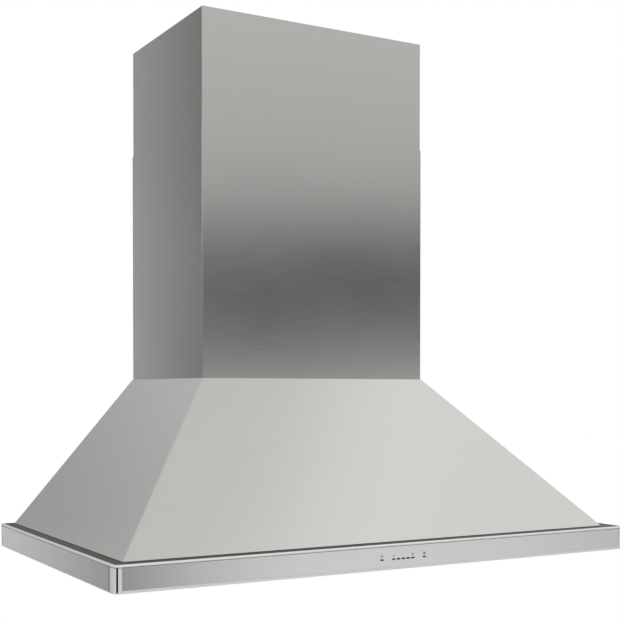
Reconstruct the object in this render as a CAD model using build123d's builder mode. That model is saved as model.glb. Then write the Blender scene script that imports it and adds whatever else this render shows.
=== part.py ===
"""Wall-mounted chimney range hood, 900 mm wide, as an assembly of separate pieces. Sizes are in millimetres.

Frame: the origin is on the wall plane, in the middle of the hood's lower edge.
+X points to the right of someone who stands in front of the hood, +Y into the wall and +Z up.
"""

from build123d import *
from math import asin, degrees, hypot, isclose
import os

os.makedirs("parts", exist_ok=True)

# ---------------------------------------------------------------- driving dimensions
# rim: the flat band round the hood's lower edge
WIDTH = 900.0
DEPTH = 556.0
RIM_HEIGHT = 38.2
CORNER_RADIUS = 9.0
RIM_SHEET = 1.2
LIP_HEIGHT = 3.5
LIP_CROWN = 2.4
LIP_UNDERCUT = 0.7
FACING_RECESS = 1.6
LEDGE_DROP = 1.4
LEDGE_SHEET = 0.8
FLANGE_REACH = 44.0
FOOT_WIDTH = 22.0
BACK_SHEET = 1.2

# facings that fill the recess of the rim
FACING_SINK = 0.3
FACING_GAP = 0.6
FASCIA_INSET = 10.6
BEZEL_STRIP = 4.0
CAP_WRAP = 17.4
CAP_GAP = 4.0
CAP_END_ANGLE = 230.0
BEZEL_START_ANGLE = 248.0

# canopy: the sloping sheet-metal pyramid
CANOPY_SIDE_INSET = 22.1
CANOPY_FRONT_INSET = 27.3
CANOPY_RISE = 249.4
CANOPY_SHEET = 0.9
CANOPY_FLANGE = 13.0
CANOPY_HEM = 1.2
CANOPY_MARGIN = 0.5
CANOPY_BEND = 2.4

# duct cover: two telescoping sheet-metal channels
COVER_WIDTH = 421.2
COVER_DEPTH = 305.4
COVER_SHEET = 0.8
COVER_BEND = 2.0
COVER_GAP = 0.3
COVER_RETURN = 15.0
COVER_FLANGE = 14.0
LOWER_COVER_HEIGHT = 402.4
UPPER_COVER_HEIGHT = 410.0
UPPER_COVER_SHOWN = 185.4

# ceiling bracket inside the upper cover
BRACKET_SHEET = 1.5
BRACKET_HEIGHT = 28.0
BRACKET_DROP = 6.0
BRACKET_EAR = 28.0
BRACKET_RETURN_GAP = 4.5
BRACKET_HOLE_SPACING = 240.0
BRACKET_HOLE_RADIUS = 3.5

# wall fixing of the back panel
WALL_HOLE_SPACING_X = 320.0
WALL_HOLE_SPACING_Z = 150.0
WALL_HOLE_LOW_Z = 90.0
WALL_HOLE_RADIUS = 4.0

# underside
UNDERSIDE_Z = 12.0
UNDERSIDE_SHEET = 1.2
UNDERSIDE_EDGE = 16.0
OPENING_SIDE_MARGIN = 35.0
OPENING_FRONT_MARGIN = 140.0
OPENING_REAR_MARGIN = 36.0
RAIL_REACH = 20.0
RAIL_DROP = 10.0
RAIL_SHEET = 1.2
PANEL_SCREW_COUNT = 4
PANEL_SCREW_INSET = 40.0
TROUGH_SHEET = 1.0
TROUGH_DEPTH = 24.8
TROUGH_HEIGHT = 16.0
TROUGH_LIP = 4.0

# baffle filters
FILTER_COUNT = 3
FILTER_SIDE_GAP = 1.0
FILTER_END_GAP = 1.5
FILTER_HEIGHT = 12.0
FILTER_SHEET = 0.8
FILTER_RAIL = 12.0
FILTER_FRONT_RAIL = 30.0
FILTER_CORNER = 3.0
TAB_WIDTH = 20.0
TAB_OFFSET = 80.0
TAB_REACH = 9.0
TAB_SHEET = 1.2
BAFFLE_WIDTH = 24.0
BAFFLE_PITCH = 36.0
BAFFLE_SHEET = 0.6
BAFFLE_HEIGHT = 6.5
BAFFLE_SEAT = 7.5
BAFFLE_PLAY = 0.2

# filter latches
LATCH_WIDTH = 30.0
LATCH_SHEET = 1.2
LATCH_LENGTH = 11.0
LATCH_TRAVEL = 6.0
LATCH_PLAY = 0.3
LATCH_GAP = 0.4
GRIP_WIDTH = 24.0
GRIP_DROP = 9.0
GRIP_SETBACK = 3.6

# lamps
LAMP_SIDE_INSET = 180.0
LAMP_FRONT_INSET = 76.0
LAMP_RADIUS = 31.5
LAMP_HOLE_GAP = 0.5
LAMP_HEIGHT = 18.0
LAMP_WALL = 1.5
LAMP_BEZEL_RADIUS = 35.0
LAMP_BEZEL_SHEET = 1.4
LENS_THICKNESS = 2.0
LAMP_BOARD_SHEET = 1.6
CHIP_COUNT = 6
CHIP_RING = 16.0
CHIP_SIZE = 3.6
CHIP_HEIGHT = 0.9

# touch controls in the front facing
CONTROL_CENTRE_X = 3.6
CONTROL_Z = 15.4
LIGHT_HEIGHT = 2.4
LIGHT_WIDTH = 6.0
LIGHT_PITCH = 8.6
LIGHT_COUNT = 5
OUTER_LIGHT_OFFSET = 38.2
LIGHT_PLAY = 0.05
BOARD_WIDTH = 112.0
BOARD_HEIGHT = 20.0
BOARD_SHEET = 1.6
CARRIER_BORDER = 6.0
CARRIER_DEPTH = 3.0

# blower
BLOWER_SHEET = 1.0
BLOWER_WIDTH = 160.0
SCROLL_RADIUS = 90.0
SCROLL_GROWTH = 14.0
THROAT_RISE = 135.0
INLET_RADIUS = 64.0
INLET_FLARE = 8.0
BLOWER_BRACKET_WIDTH = 100.0
BLOWER_BRACKET_LEG = 24.0
BLOWER_BRACKET_DROP = 11.0
BRACKET_SCREW_INSET = 15.0
BLOWER_BRACKET_SHEET = 1.2
DECK_SHEET = 1.2
DECK_CLEARANCE = 1.0

# fan
WHEEL_RADIUS = 78.0
WHEEL_WIDTH = 140.0
BLADE_COUNT = 36
BLADE_SHEET = 0.9
BLADE_LEAN = 7.0
BLADE_CAMBER = 1.4
WHEEL_RING = 4.0
WHEEL_RING_SHEET = 1.2
WHEEL_DISC_SHEET = 1.6
HUB_RADIUS = 13.0
HUB_LENGTH = 22.0
SHAFT_RADIUS = 4.0
SHAFT_PLAY = 0.05
MOTOR_RADIUS = 40.0
MOTOR_LENGTH = 92.0
MOTOR_INNER_X = -22.0
MOTOR_FLANGE_RADIUS = 46.0
MOTOR_FLANGE_SHEET = 2.0
MOTOR_EDGE = 3.0
VENT_COUNT = 8
VENT_RING = 25.0
VENT_LENGTH = 15.0
VENT_WIDTH = 4.0
VENT_DEPTH = 2.0
ARM_COUNT = 3
ARM_WIDTH = 14.0
ARM_REACH = 84.0
ARM_SHEET = 1.5
ARM_FOOT = 5.0
ARM_START_ANGLE = 30.0

# outlet with its back-draught damper
OUTLET_RISE = 40.0
OUTLET_FLANGE = 8.0
NECK_RADIUS = 73.0
NECK_HEIGHT = 10.0
NECK_FLANGE_RADIUS = 82.0
COLLAR_RADIUS = 75.5
COLLAR_WALL = 2.2
COLLAR_HEIGHT = 60.0
COLLAR_FLANGE_SHEET = 1.5
STOP_RING_WIDTH = 3.8
STOP_RING_HEIGHT = 1.5
STOP_RING_Z = 12.5
ROD_RADIUS = 1.5
ROD_PLAY = 0.05
ROD_ABOVE_STOP = 1.8
FLAP_SHEET = 1.0
FLAP_REST_GAP = 0.3
FLAP_EDGE_GAP = 0.7
FLAP_HINGE_GAP = 3.0
KNUCKLE_RADIUS = 2.6
KNUCKLE_LENGTH = 16.0
KNUCKLE_OFFSETS = (22.0, 48.0)

# electrics on the inside of the back panel
BOX_WIDTH = 140.0
BOX_HEIGHT = 80.0
BOX_DEPTH = 46.0
BOX_SHEET = 1.2
BOX_SIDE_INSET = 192.0
BOX_CENTRE_Z = 88.0
GLAND_BORE = 7.0
GLAND_RADIUS = 11.0
GLAND_FLANGE_RADIUS = 14.5
GLAND_FLANGE_SHEET = 2.0
GLAND_LENGTH = 9.0
DRIVER_WIDTH = 110.0
DRIVER_HEIGHT = 34.0
DRIVER_DEPTH = 24.0
DRIVER_SIDE_INSET = 192.0
DRIVER_EDGE = 2.0

# what stands inside the control box
CAPACITOR_RADIUS = 15.0
CAPACITOR_HEIGHT = 52.0
CAPACITOR_EDGE = 2.0
CAPACITOR_OFFSET = -48.0
CAPACITOR_STUD_RADIUS = 4.0
CAPACITOR_STUD_LENGTH = 12.0
NUT_ACROSS_FLATS = 13.0
NUT_HEIGHT = 5.0
RELAY_BOARD_WIDTH = 44.0
RELAY_BOARD_HEIGHT = 66.0
RELAY_BOARD_SHEET = 1.6
RELAY_BOARD_OFFSET = 42.0
POST_RADIUS = 2.5
POST_HEIGHT = 8.0
POST_INSET = 5.0
RELAY_SIZE = (14.0, 16.0, 15.0)
RELAY_PITCH = 20.0
RELAY_COUNT = 3

# screws
FIT_PLAY = 0.1
SCREW_RADIUS = 2.0
SCREW_PLAY = 0.1
SCREW_HEAD_RADIUS = 3.8
SCREW_HEAD_HEIGHT = 2.2
SCREW_END = 2.0

# ---------------------------------------------------------------- sizes worked out from the above
OVERRUN = 5.0

LEDGE_TOP = RIM_HEIGHT - LEDGE_DROP
RIM_FLANGE_TOP = LEDGE_TOP - LEDGE_SHEET
FACING_TOP = RIM_HEIGHT - LIP_HEIGHT - FACING_GAP
WEB_INSET = FACING_RECESS + RIM_SHEET
UNDERSIDE_TOP = UNDERSIDE_Z + UNDERSIDE_SHEET
OPENING_WIDTH = WIDTH - 2 * OPENING_SIDE_MARGIN
OPENING_FRONT_Y = OPENING_FRONT_MARGIN - DEPTH
OPENING_REAR_Y = -OPENING_REAR_MARGIN
TROUGH_FRONT_Y = -BACK_SHEET - TROUGH_DEPTH

CANOPY_TOP_Z = LEDGE_TOP + CANOPY_RISE
CANOPY_BASE_WIDTH = WIDTH - 2 * CANOPY_SIDE_INSET
CANOPY_BASE_DEPTH = DEPTH - CANOPY_FRONT_INSET
CANOPY_TOP_WIDTH = COVER_WIDTH + 2 * CANOPY_MARGIN
CANOPY_TOP_DEPTH = COVER_DEPTH + CANOPY_MARGIN
DECK_TOP = CANOPY_TOP_Z - CANOPY_SHEET

LOWER_COVER_TOP = CANOPY_TOP_Z + LOWER_COVER_HEIGHT
UPPER_COVER_TOP = LOWER_COVER_TOP + UPPER_COVER_SHOWN
UPPER_COVER_BASE = UPPER_COVER_TOP - UPPER_COVER_HEIGHT
NESTING = COVER_SHEET + COVER_GAP

# the scroll hangs under the deck and only its straight throat passes through
BLOWER_Z = DECK_TOP - DECK_SHEET - DECK_CLEARANCE - BLOWER_SHEET - SCROLL_RADIUS + SCROLL_GROWTH / 2
BLOWER_HALF = BLOWER_WIDTH / 2
SCROLL_OUT = SCROLL_GROWTH / 2 + SCROLL_RADIUS + 2 * SCROLL_GROWTH
THROAT_IN = -SCROLL_GROWTH / 2
THROAT_TOP = BLOWER_Z + THROAT_RISE
OUTLET_Y = -COVER_DEPTH / 2
BLOWER_Y = OUTLET_Y - (SCROLL_OUT + THROAT_IN) / 2
THROAT_DEPTH = SCROLL_OUT - THROAT_IN
NECK_BASE = THROAT_TOP + BLOWER_SHEET + OUTLET_RISE
COLLAR_BASE = NECK_BASE + BLOWER_SHEET
STOP_TOP = COLLAR_BASE + STOP_RING_Z + STOP_RING_HEIGHT
ROD_Z = STOP_TOP + ROD_ABOVE_STOP
COLLAR_BORE = COLLAR_RADIUS - COLLAR_WALL

FILTER_PITCH = (OPENING_WIDTH - FILTER_SIDE_GAP) / FILTER_COUNT
FILTER_WIDTH = FILTER_PITCH - FILTER_SIDE_GAP
FILTER_FRONT_Y = OPENING_FRONT_Y + FILTER_END_GAP
FILTER_REAR_Y = OPENING_REAR_Y - FILTER_END_GAP
FILTER_DEPTH = FILTER_REAR_Y - FILTER_FRONT_Y
FILTER_Y = (FILTER_REAR_Y + FILTER_FRONT_Y) / 2
LATCH_Z = UNDERSIDE_Z + FILTER_SHEET + LATCH_PLAY

BOX_CENTRE_X = WIDTH / 2 - BOX_SIDE_INSET
DRIVER_CENTRE_X = DRIVER_SIDE_INSET - WIDTH / 2


# ---------------------------------------------------------------- shared profiles
def rim_outline(inset, back=-BACK_SHEET):
    """Plan of the rim, drawn in by inset at the front and sides, with its rounded front corners."""
    depth = DEPTH - inset + back
    with BuildSketch(mode=Mode.PRIVATE) as outline:
        with Locations((0, back - depth / 2)):
            Rectangle(WIDTH - 2 * inset, depth)
        if CORNER_RADIUS > inset:
            fillet(outline.vertices().group_by(Axis.Y)[0], radius=CORNER_RADIUS - inset)
    return outline.sketch


def rim_band(outer_inset, inner_inset):
    """Plan of a band that follows the rim round its front and sides and is open at the wall."""
    with BuildSketch(mode=Mode.PRIVATE) as band:
        add(rim_outline(outer_inset))
        add(rim_outline(inner_inset, back=OVERRUN), mode=Mode.SUBTRACT)
    return band.sketch


def corner_point(angle, reach):
    """A point at reach from the centre of the rim's left front corner."""
    centre = Vector(-WIDTH / 2 + CORNER_RADIUS, -DEPTH + CORNER_RADIUS)
    return centre + Vector(reach, 0).rotate(Axis.Z, angle)


def is_outermost(edge):
    """Whether an edge runs along the rim's full outline, on a side, on the front or round a corner."""
    middle = edge @ 0.5
    on_side = isclose(abs(middle.X), WIDTH / 2)
    on_front = isclose(middle.Y, -DEPTH)
    return on_side or on_front or (edge.geom_type == GeomType.CIRCLE and isclose(edge.radius, CORNER_RADIUS))


def level_edges(edges):
    """Edges that run level, in groups from the lowest to the highest."""
    return edges.filter_by(Axis.Z, reverse=True).group_by(Axis.Z)


def is_sloping(edge):
    """Whether an edge climbs without being upright."""
    return 0.1 < abs((edge % 0.5).Z) < 0.99


def cover_band(inset, sheet):
    """Plan of a duct cover: a channel with bent front corners and a return at each rear edge."""
    width = COVER_WIDTH - 2 * inset
    depth = COVER_DEPTH - 2 * inset
    with BuildSketch(mode=Mode.PRIVATE) as band:
        with Locations((0, -inset - depth / 2)):
            RectangleRounded(width, depth, COVER_BEND)
            RectangleRounded(width - 2 * sheet, depth - 2 * sheet, COVER_BEND - sheet, mode=Mode.SUBTRACT)
        with Locations((0, -inset)):
            Rectangle(width - 2 * COVER_RETURN, 2 * COVER_BEND, mode=Mode.SUBTRACT)
    return band.sketch


def scroll_face(extra):
    """Side view of the blower housing: three quarter arcs that open out, then the straight throat."""
    grow = SCROLL_GROWTH
    half = grow / 2
    first = SCROLL_RADIUS + extra
    second = first + grow
    third = second + grow
    lap = degrees(asin(extra / first))
    with BuildSketch(mode=Mode.PRIVATE) as face:
        with BuildLine():
            tongue = CenterArc((-half, -half), first, 90 + lap, 90 - lap)
            CenterArc((half, -half), second, 180, 90)
            rear = CenterArc((half, half), third, 270, 90)
            Polyline(rear @ 1, (half + third, THROAT_RISE), (-half - extra, THROAT_RISE), tongue @ 0)
        make_face()
    return face.sketch


def blower_plane(x):
    """A plane across the fan's axis at x: its first direction is +Y and its second is +Z."""
    return Plane(origin=(x, BLOWER_Y, BLOWER_Z), x_dir=(0, 1, 0), z_dir=(1, 0, 0))


# ---------------------------------------------------------------- rim
# the seam between a corner cap and the bezel is a wedge about the corner's centre
corner_centre = corner_point(0, 0)
cap_end = corner_point(CAP_END_ANGLE, 4 * CORNER_RADIUS)
bezel_start = corner_point(BEZEL_START_ANGLE, 4 * CORNER_RADIUS)
with BuildPart() as rim_frame:
    with BuildSketch(Plane.XY):
        add(rim_band(FACING_RECESS, WEB_INSET))
    extrude(amount=RIM_HEIGHT)
    with BuildSketch(Plane.XY.offset(RIM_HEIGHT - LIP_HEIGHT)):
        add(rim_band(0, WEB_INSET))
    extrude(amount=LIP_HEIGHT)
    # the lip is rolled over at its top and only eased at its lower edge
    fillet(level_edges(rim_frame.edges().filter_by(is_outermost))[-1], radius=LIP_CROWN)
    fillet(level_edges(rim_frame.edges().filter_by(is_outermost))[0], radius=LIP_UNDERCUT)
    with BuildSketch(Plane.XY.offset(RIM_FLANGE_TOP - RIM_SHEET)):
        add(rim_band(FACING_RECESS, FLANGE_REACH))
    extrude(amount=RIM_SHEET)
    with BuildSketch(Plane.XY):
        add(rim_band(0, FOOT_WIDTH))
    extrude(amount=RIM_SHEET)
    with BuildSketch(Plane.XY):
        add(rim_band(FOOT_WIDTH - RIM_SHEET, FOOT_WIDTH))
    extrude(amount=UNDERSIDE_Z)
    # window in the front web for the touch controls
    with BuildSketch(Plane.XZ.offset(DEPTH - WEB_INSET - OVERRUN)):
        with Locations((CONTROL_CENTRE_X, CONTROL_Z)):
            Rectangle(BOARD_WIDTH - 2 * CARRIER_BORDER, BOARD_HEIGHT - CARRIER_BORDER)
    extrude(amount=2 * OVERRUN, mode=Mode.SUBTRACT)
    # relief notches in the web's front corners, behind the seams
    with BuildSketch(Plane.XY.offset(RIM_SHEET)):
        add(rim_band(FACING_RECESS, WEB_INSET))
        Polygon(
            (corner_centre.X, corner_centre.Y),
            (cap_end.X, cap_end.Y),
            (bezel_start.X, bezel_start.Y),
            align=None,
            mode=Mode.INTERSECT,
        )
        mirror(about=Plane.YZ)
    extrude(amount=RIM_HEIGHT - LIP_HEIGHT - RIM_SHEET, mode=Mode.SUBTRACT)
rim_frame.part.label = "rim_frame"
export_step(rim_frame.part, "parts/rim_frame.step")

with BuildPart() as rim_ledge:
    with BuildSketch(Plane.XY.offset(RIM_FLANGE_TOP)):
        add(rim_band(WEB_INSET, FLANGE_REACH))
    extrude(amount=LEDGE_SHEET)
rim_ledge.part.label = "rim_ledge"
export_step(rim_ledge.part, "parts/rim_ledge.step")

# ---------------------------------------------------------------- facings
with BuildPart() as front_bezel:
    with BuildSketch(Plane.XY.offset(RIM_SHEET)):
        add(rim_band(0, FACING_RECESS))
        Polygon(
            (corner_centre.X, corner_centre.Y),
            (bezel_start.X, bezel_start.Y),
            (-bezel_start.X, bezel_start.Y),
            (-corner_centre.X, corner_centre.Y),
            align=None,
            mode=Mode.INTERSECT,
        )
    extrude(amount=FACING_TOP - RIM_SHEET)
    with BuildSketch(Plane.XZ.offset(DEPTH - OVERRUN)):
        with Locations((0, BEZEL_STRIP)):
            Rectangle(WIDTH - 2 * FASCIA_INSET, RIM_HEIGHT, align=(Align.CENTER, Align.MIN))
    extrude(amount=2 * OVERRUN, mode=Mode.SUBTRACT)
front_bezel.part.label = "front_bezel"
export_step(front_bezel.part, "parts/front_bezel.step")

light_centres = [CONTROL_CENTRE_X + (i - (LIGHT_COUNT - 1) / 2) * LIGHT_PITCH for i in range(LIGHT_COUNT)]
light_centres += [CONTROL_CENTRE_X - OUTER_LIGHT_OFFSET, CONTROL_CENTRE_X + OUTER_LIGHT_OFFSET]
light_spots = [(x, CONTROL_Z) for x in light_centres]

fascia_width = WIDTH - 2 * FASCIA_INSET - 2 * FIT_PLAY
fascia_base = BEZEL_STRIP + FIT_PLAY
with BuildPart() as front_fascia:
    with BuildSketch(Plane.XZ.offset(DEPTH - FACING_RECESS)):
        with Locations((0, fascia_base)):
            Rectangle(fascia_width, FACING_TOP - fascia_base, align=(Align.CENTER, Align.MIN))
        with Locations(*light_spots):
            Rectangle(LIGHT_WIDTH + 2 * LIGHT_PLAY, LIGHT_HEIGHT + 2 * LIGHT_PLAY, mode=Mode.SUBTRACT)
    extrude(amount=FACING_RECESS - FACING_SINK)
front_fascia.part.label = "front_fascia"
export_step(front_fascia.part, "parts/front_fascia.step")

side_fascia_length = DEPTH - CAP_WRAP - CAP_GAP - BACK_SHEET
with BuildPart() as side_fascia_left:
    with BuildSketch(Plane.XY.offset(RIM_SHEET)):
        with Locations((-WIDTH / 2 + FACING_SINK, -BACK_SHEET)):
            Rectangle(FACING_RECESS - FACING_SINK, side_fascia_length, align=(Align.MIN, Align.MAX))
    extrude(amount=FACING_TOP - RIM_SHEET)
side_fascia_left.part.label = "side_fascia_left"
export_step(side_fascia_left.part, "parts/side_fascia_left.step")

with BuildPart() as side_fascia_right:
    add(side_fascia_left.part)
    mirror(about=Plane.YZ, mode=Mode.REPLACE)
side_fascia_right.part.label = "side_fascia_right"
export_step(side_fascia_right.part, "parts/side_fascia_right.step")

with BuildPart() as corner_cap_left:
    with BuildSketch(Plane.XY.offset(RIM_SHEET)):
        add(rim_band(0, FACING_RECESS))
        Polygon(
            (corner_centre.X, corner_centre.Y),
            (corner_centre.X, -DEPTH + CAP_WRAP),
            (cap_end.X - CORNER_RADIUS, -DEPTH + CAP_WRAP),
            (cap_end.X - CORNER_RADIUS, cap_end.Y),
            (cap_end.X, cap_end.Y),
            align=None,
            mode=Mode.INTERSECT,
        )
    extrude(amount=FACING_TOP - RIM_SHEET)
corner_cap_left.part.label = "corner_cap_left"
export_step(corner_cap_left.part, "parts/corner_cap_left.step")

with BuildPart() as corner_cap_right:
    add(corner_cap_left.part)
    mirror(about=Plane.YZ, mode=Mode.REPLACE)
corner_cap_right.part.label = "corner_cap_right"
export_step(corner_cap_right.part, "parts/corner_cap_right.step")

# ---------------------------------------------------------------- canopy
canopy_side_run = (CANOPY_BASE_WIDTH - CANOPY_TOP_WIDTH) / 2
canopy_front_run = CANOPY_BASE_DEPTH - CANOPY_TOP_DEPTH
canopy_side_wall = CANOPY_SHEET * hypot(1, canopy_side_run / CANOPY_RISE)
canopy_front_wall = CANOPY_SHEET * hypot(1, canopy_front_run / CANOPY_RISE)
# the hollow is the same form drawn in by the sheet, measured level, and run out past the back
with BuildPart() as canopy_hollow:
    with BuildSketch(Plane.XY.offset(LEDGE_TOP)):
        with Locations((0, OVERRUN)):
            Rectangle(
                CANOPY_BASE_WIDTH - 2 * canopy_side_wall,
                CANOPY_BASE_DEPTH - canopy_front_wall + OVERRUN,
                align=(Align.CENTER, Align.MAX),
            )
    with BuildSketch(Plane.XY.offset(CANOPY_TOP_Z)):
        with Locations((0, OVERRUN)):
            Rectangle(
                CANOPY_TOP_WIDTH - 2 * canopy_side_wall,
                CANOPY_TOP_DEPTH - canopy_front_wall + OVERRUN,
                align=(Align.CENTER, Align.MAX),
            )
    loft(ruled=True)
    fillet(canopy_hollow.edges().filter_by(is_sloping).sort_by(Axis.Y)[:2], radius=CANOPY_BEND - CANOPY_SHEET)

with BuildPart() as canopy_shell:
    with BuildSketch(Plane.XY.offset(LEDGE_TOP)):
        with Locations((0, -BACK_SHEET)):
            Rectangle(CANOPY_BASE_WIDTH, CANOPY_BASE_DEPTH - BACK_SHEET, align=(Align.CENTER, Align.MAX))
    with BuildSketch(Plane.XY.offset(CANOPY_TOP_Z)):
        with Locations((0, -BACK_SHEET)):
            Rectangle(CANOPY_TOP_WIDTH, CANOPY_TOP_DEPTH - BACK_SHEET, align=(Align.CENTER, Align.MAX))
    loft(ruled=True)
    fillet(canopy_shell.edges().filter_by(is_sloping).sort_by(Axis.Y)[:2], radius=CANOPY_BEND)
    add(canopy_hollow.part, mode=Mode.SUBTRACT)
    # turned-in base flange, whose outer edge is the hem
    with BuildSketch(Plane.XY.offset(LEDGE_TOP)) as base_flange:
        with Locations((0, -BACK_SHEET)):
            Rectangle(CANOPY_BASE_WIDTH, CANOPY_BASE_DEPTH - BACK_SHEET, align=(Align.CENTER, Align.MAX))
        fillet(base_flange.vertices().group_by(Axis.Y)[0], radius=CANOPY_BEND)
        with Locations((0, OVERRUN)):
            Rectangle(
                CANOPY_BASE_WIDTH - 2 * CANOPY_FLANGE,
                CANOPY_BASE_DEPTH - CANOPY_FLANGE + OVERRUN,
                align=(Align.CENTER, Align.MAX),
                mode=Mode.SUBTRACT,
            )
    extrude(amount=CANOPY_HEM)
    # turned-in top flange that carries the duct cover
    with BuildSketch(Plane.XY.offset(DECK_TOP)) as top_flange:
        with Locations((0, -BACK_SHEET)):
            Rectangle(CANOPY_TOP_WIDTH, CANOPY_TOP_DEPTH - BACK_SHEET, align=(Align.CENTER, Align.MAX))
        fillet(top_flange.vertices().group_by(Axis.Y)[0], radius=CANOPY_BEND)
        with Locations((0, OVERRUN)):
            Rectangle(
                CANOPY_TOP_WIDTH - 2 * COVER_FLANGE,
                CANOPY_TOP_DEPTH - COVER_FLANGE + OVERRUN,
                align=(Align.CENTER, Align.MAX),
                mode=Mode.SUBTRACT,
            )
    extrude(amount=CANOPY_SHEET)
    cover_screw_x = COVER_WIDTH / 2 - COVER_FLANGE / 2
    cover_screw_spots = [(x, -COVER_DEPTH / 2) for x in (-cover_screw_x, cover_screw_x)]
    with BuildSketch(Plane.XY.offset(DECK_TOP - OVERRUN)):
        with Locations(*cover_screw_spots):
            Circle(SCREW_RADIUS + SCREW_PLAY)
    extrude(amount=2 * OVERRUN, mode=Mode.SUBTRACT)
canopy_shell.part.label = "canopy_shell"
export_step(canopy_shell.part, "parts/canopy_shell.step")

wall_hole_z = WALL_HOLE_LOW_Z + WALL_HOLE_SPACING_Z / 2
panel_screw_pitch = (OPENING_WIDTH - 2 * PANEL_SCREW_INSET) / (PANEL_SCREW_COUNT - 1)
panel_screw_spots = [
    ((i - (PANEL_SCREW_COUNT - 1) / 2) * panel_screw_pitch, -BACK_SHEET - RAIL_REACH / 2)
    for i in range(PANEL_SCREW_COUNT)
]
with BuildPart() as back_panel:
    with BuildSketch(Plane.XZ):
        with BuildLine():
            Polyline(
                (-WIDTH / 2, 0),
                (WIDTH / 2, 0),
                (WIDTH / 2, RIM_HEIGHT),
                (CANOPY_BASE_WIDTH / 2, RIM_HEIGHT),
                (CANOPY_BASE_WIDTH / 2, LEDGE_TOP),
                (CANOPY_TOP_WIDTH / 2, CANOPY_TOP_Z),
                (-CANOPY_TOP_WIDTH / 2, CANOPY_TOP_Z),
                (-CANOPY_BASE_WIDTH / 2, LEDGE_TOP),
                (-CANOPY_BASE_WIDTH / 2, RIM_HEIGHT),
                (-WIDTH / 2, RIM_HEIGHT),
                close=True,
            )
        make_face()
        with Locations((0, wall_hole_z)):
            with GridLocations(WALL_HOLE_SPACING_X, WALL_HOLE_SPACING_Z, 2, 2):
                Circle(WALL_HOLE_RADIUS, mode=Mode.SUBTRACT)
        with Locations((BOX_CENTRE_X, BOX_CENTRE_Z)):
            Circle(GLAND_RADIUS + FIT_PLAY, mode=Mode.SUBTRACT)
    extrude(amount=BACK_SHEET)
back_panel.part.label = "back_panel"
export_step(back_panel.part, "parts/back_panel.step")

# angle rail, welded to the back panel, that carries the rear edge of the underside panel
with BuildPart() as panel_rail:
    with BuildSketch(Plane.YZ.offset(-OPENING_WIDTH / 2)):
        with Locations((-BACK_SHEET, UNDERSIDE_Z)):
            Rectangle(RAIL_REACH, RAIL_SHEET, align=(Align.MAX, Align.MAX))
            Rectangle(RAIL_SHEET, RAIL_DROP, align=(Align.MAX, Align.MAX))
    extrude(amount=OPENING_WIDTH)
    with BuildSketch(Plane.XY.offset(UNDERSIDE_Z - OVERRUN)):
        with Locations(*panel_screw_spots):
            Circle(SCREW_RADIUS + SCREW_PLAY)
    extrude(amount=2 * OVERRUN, mode=Mode.SUBTRACT)
panel_rail.part.label = "panel_rail"
export_step(panel_rail.part, "parts/panel_rail.step")

# ---------------------------------------------------------------- underside
lamp_x = WIDTH / 2 - LAMP_SIDE_INSET
lamp_y = LAMP_FRONT_INSET - DEPTH
lamp_spots = [(-lamp_x, lamp_y), (lamp_x, lamp_y)]
with BuildPart() as underside_panel:
    with BuildSketch(Plane.XY.offset(UNDERSIDE_Z)):
        add(rim_outline(UNDERSIDE_EDGE))
        with Locations((0, (OPENING_FRONT_Y + OPENING_REAR_Y) / 2)):
            Rectangle(OPENING_WIDTH, OPENING_REAR_Y - OPENING_FRONT_Y, mode=Mode.SUBTRACT)
        with Locations(*lamp_spots):
            Circle(LAMP_RADIUS + LAMP_HOLE_GAP, mode=Mode.SUBTRACT)
        with Locations(*panel_screw_spots):
            Circle(SCREW_RADIUS + SCREW_PLAY, mode=Mode.SUBTRACT)
    extrude(amount=UNDERSIDE_SHEET)
underside_panel.part.label = "underside_panel"
export_step(underside_panel.part, "parts/underside_panel.step")

with BuildPart() as grease_trough:
    with BuildSketch(Plane.YZ.offset(-OPENING_WIDTH / 2)):
        with Locations((TROUGH_FRONT_Y, UNDERSIDE_TOP)):
            Rectangle(TROUGH_DEPTH, TROUGH_SHEET, align=(Align.MIN, Align.MIN))
            Rectangle(TROUGH_SHEET, TROUGH_LIP, align=(Align.MIN, Align.MIN))
        with Locations((-BACK_SHEET, UNDERSIDE_TOP)):
            Rectangle(TROUGH_SHEET, TROUGH_HEIGHT, align=(Align.MAX, Align.MIN))
    extrude(amount=OPENING_WIDTH)
    with BuildSketch(Plane.XY.offset(UNDERSIDE_TOP - OVERRUN)):
        with Locations(*panel_screw_spots):
            Circle(SCREW_RADIUS + SCREW_PLAY)
    extrude(amount=2 * OVERRUN, mode=Mode.SUBTRACT)
grease_trough.part.label = "grease_trough"
export_step(grease_trough.part, "parts/grease_trough.step")

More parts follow.
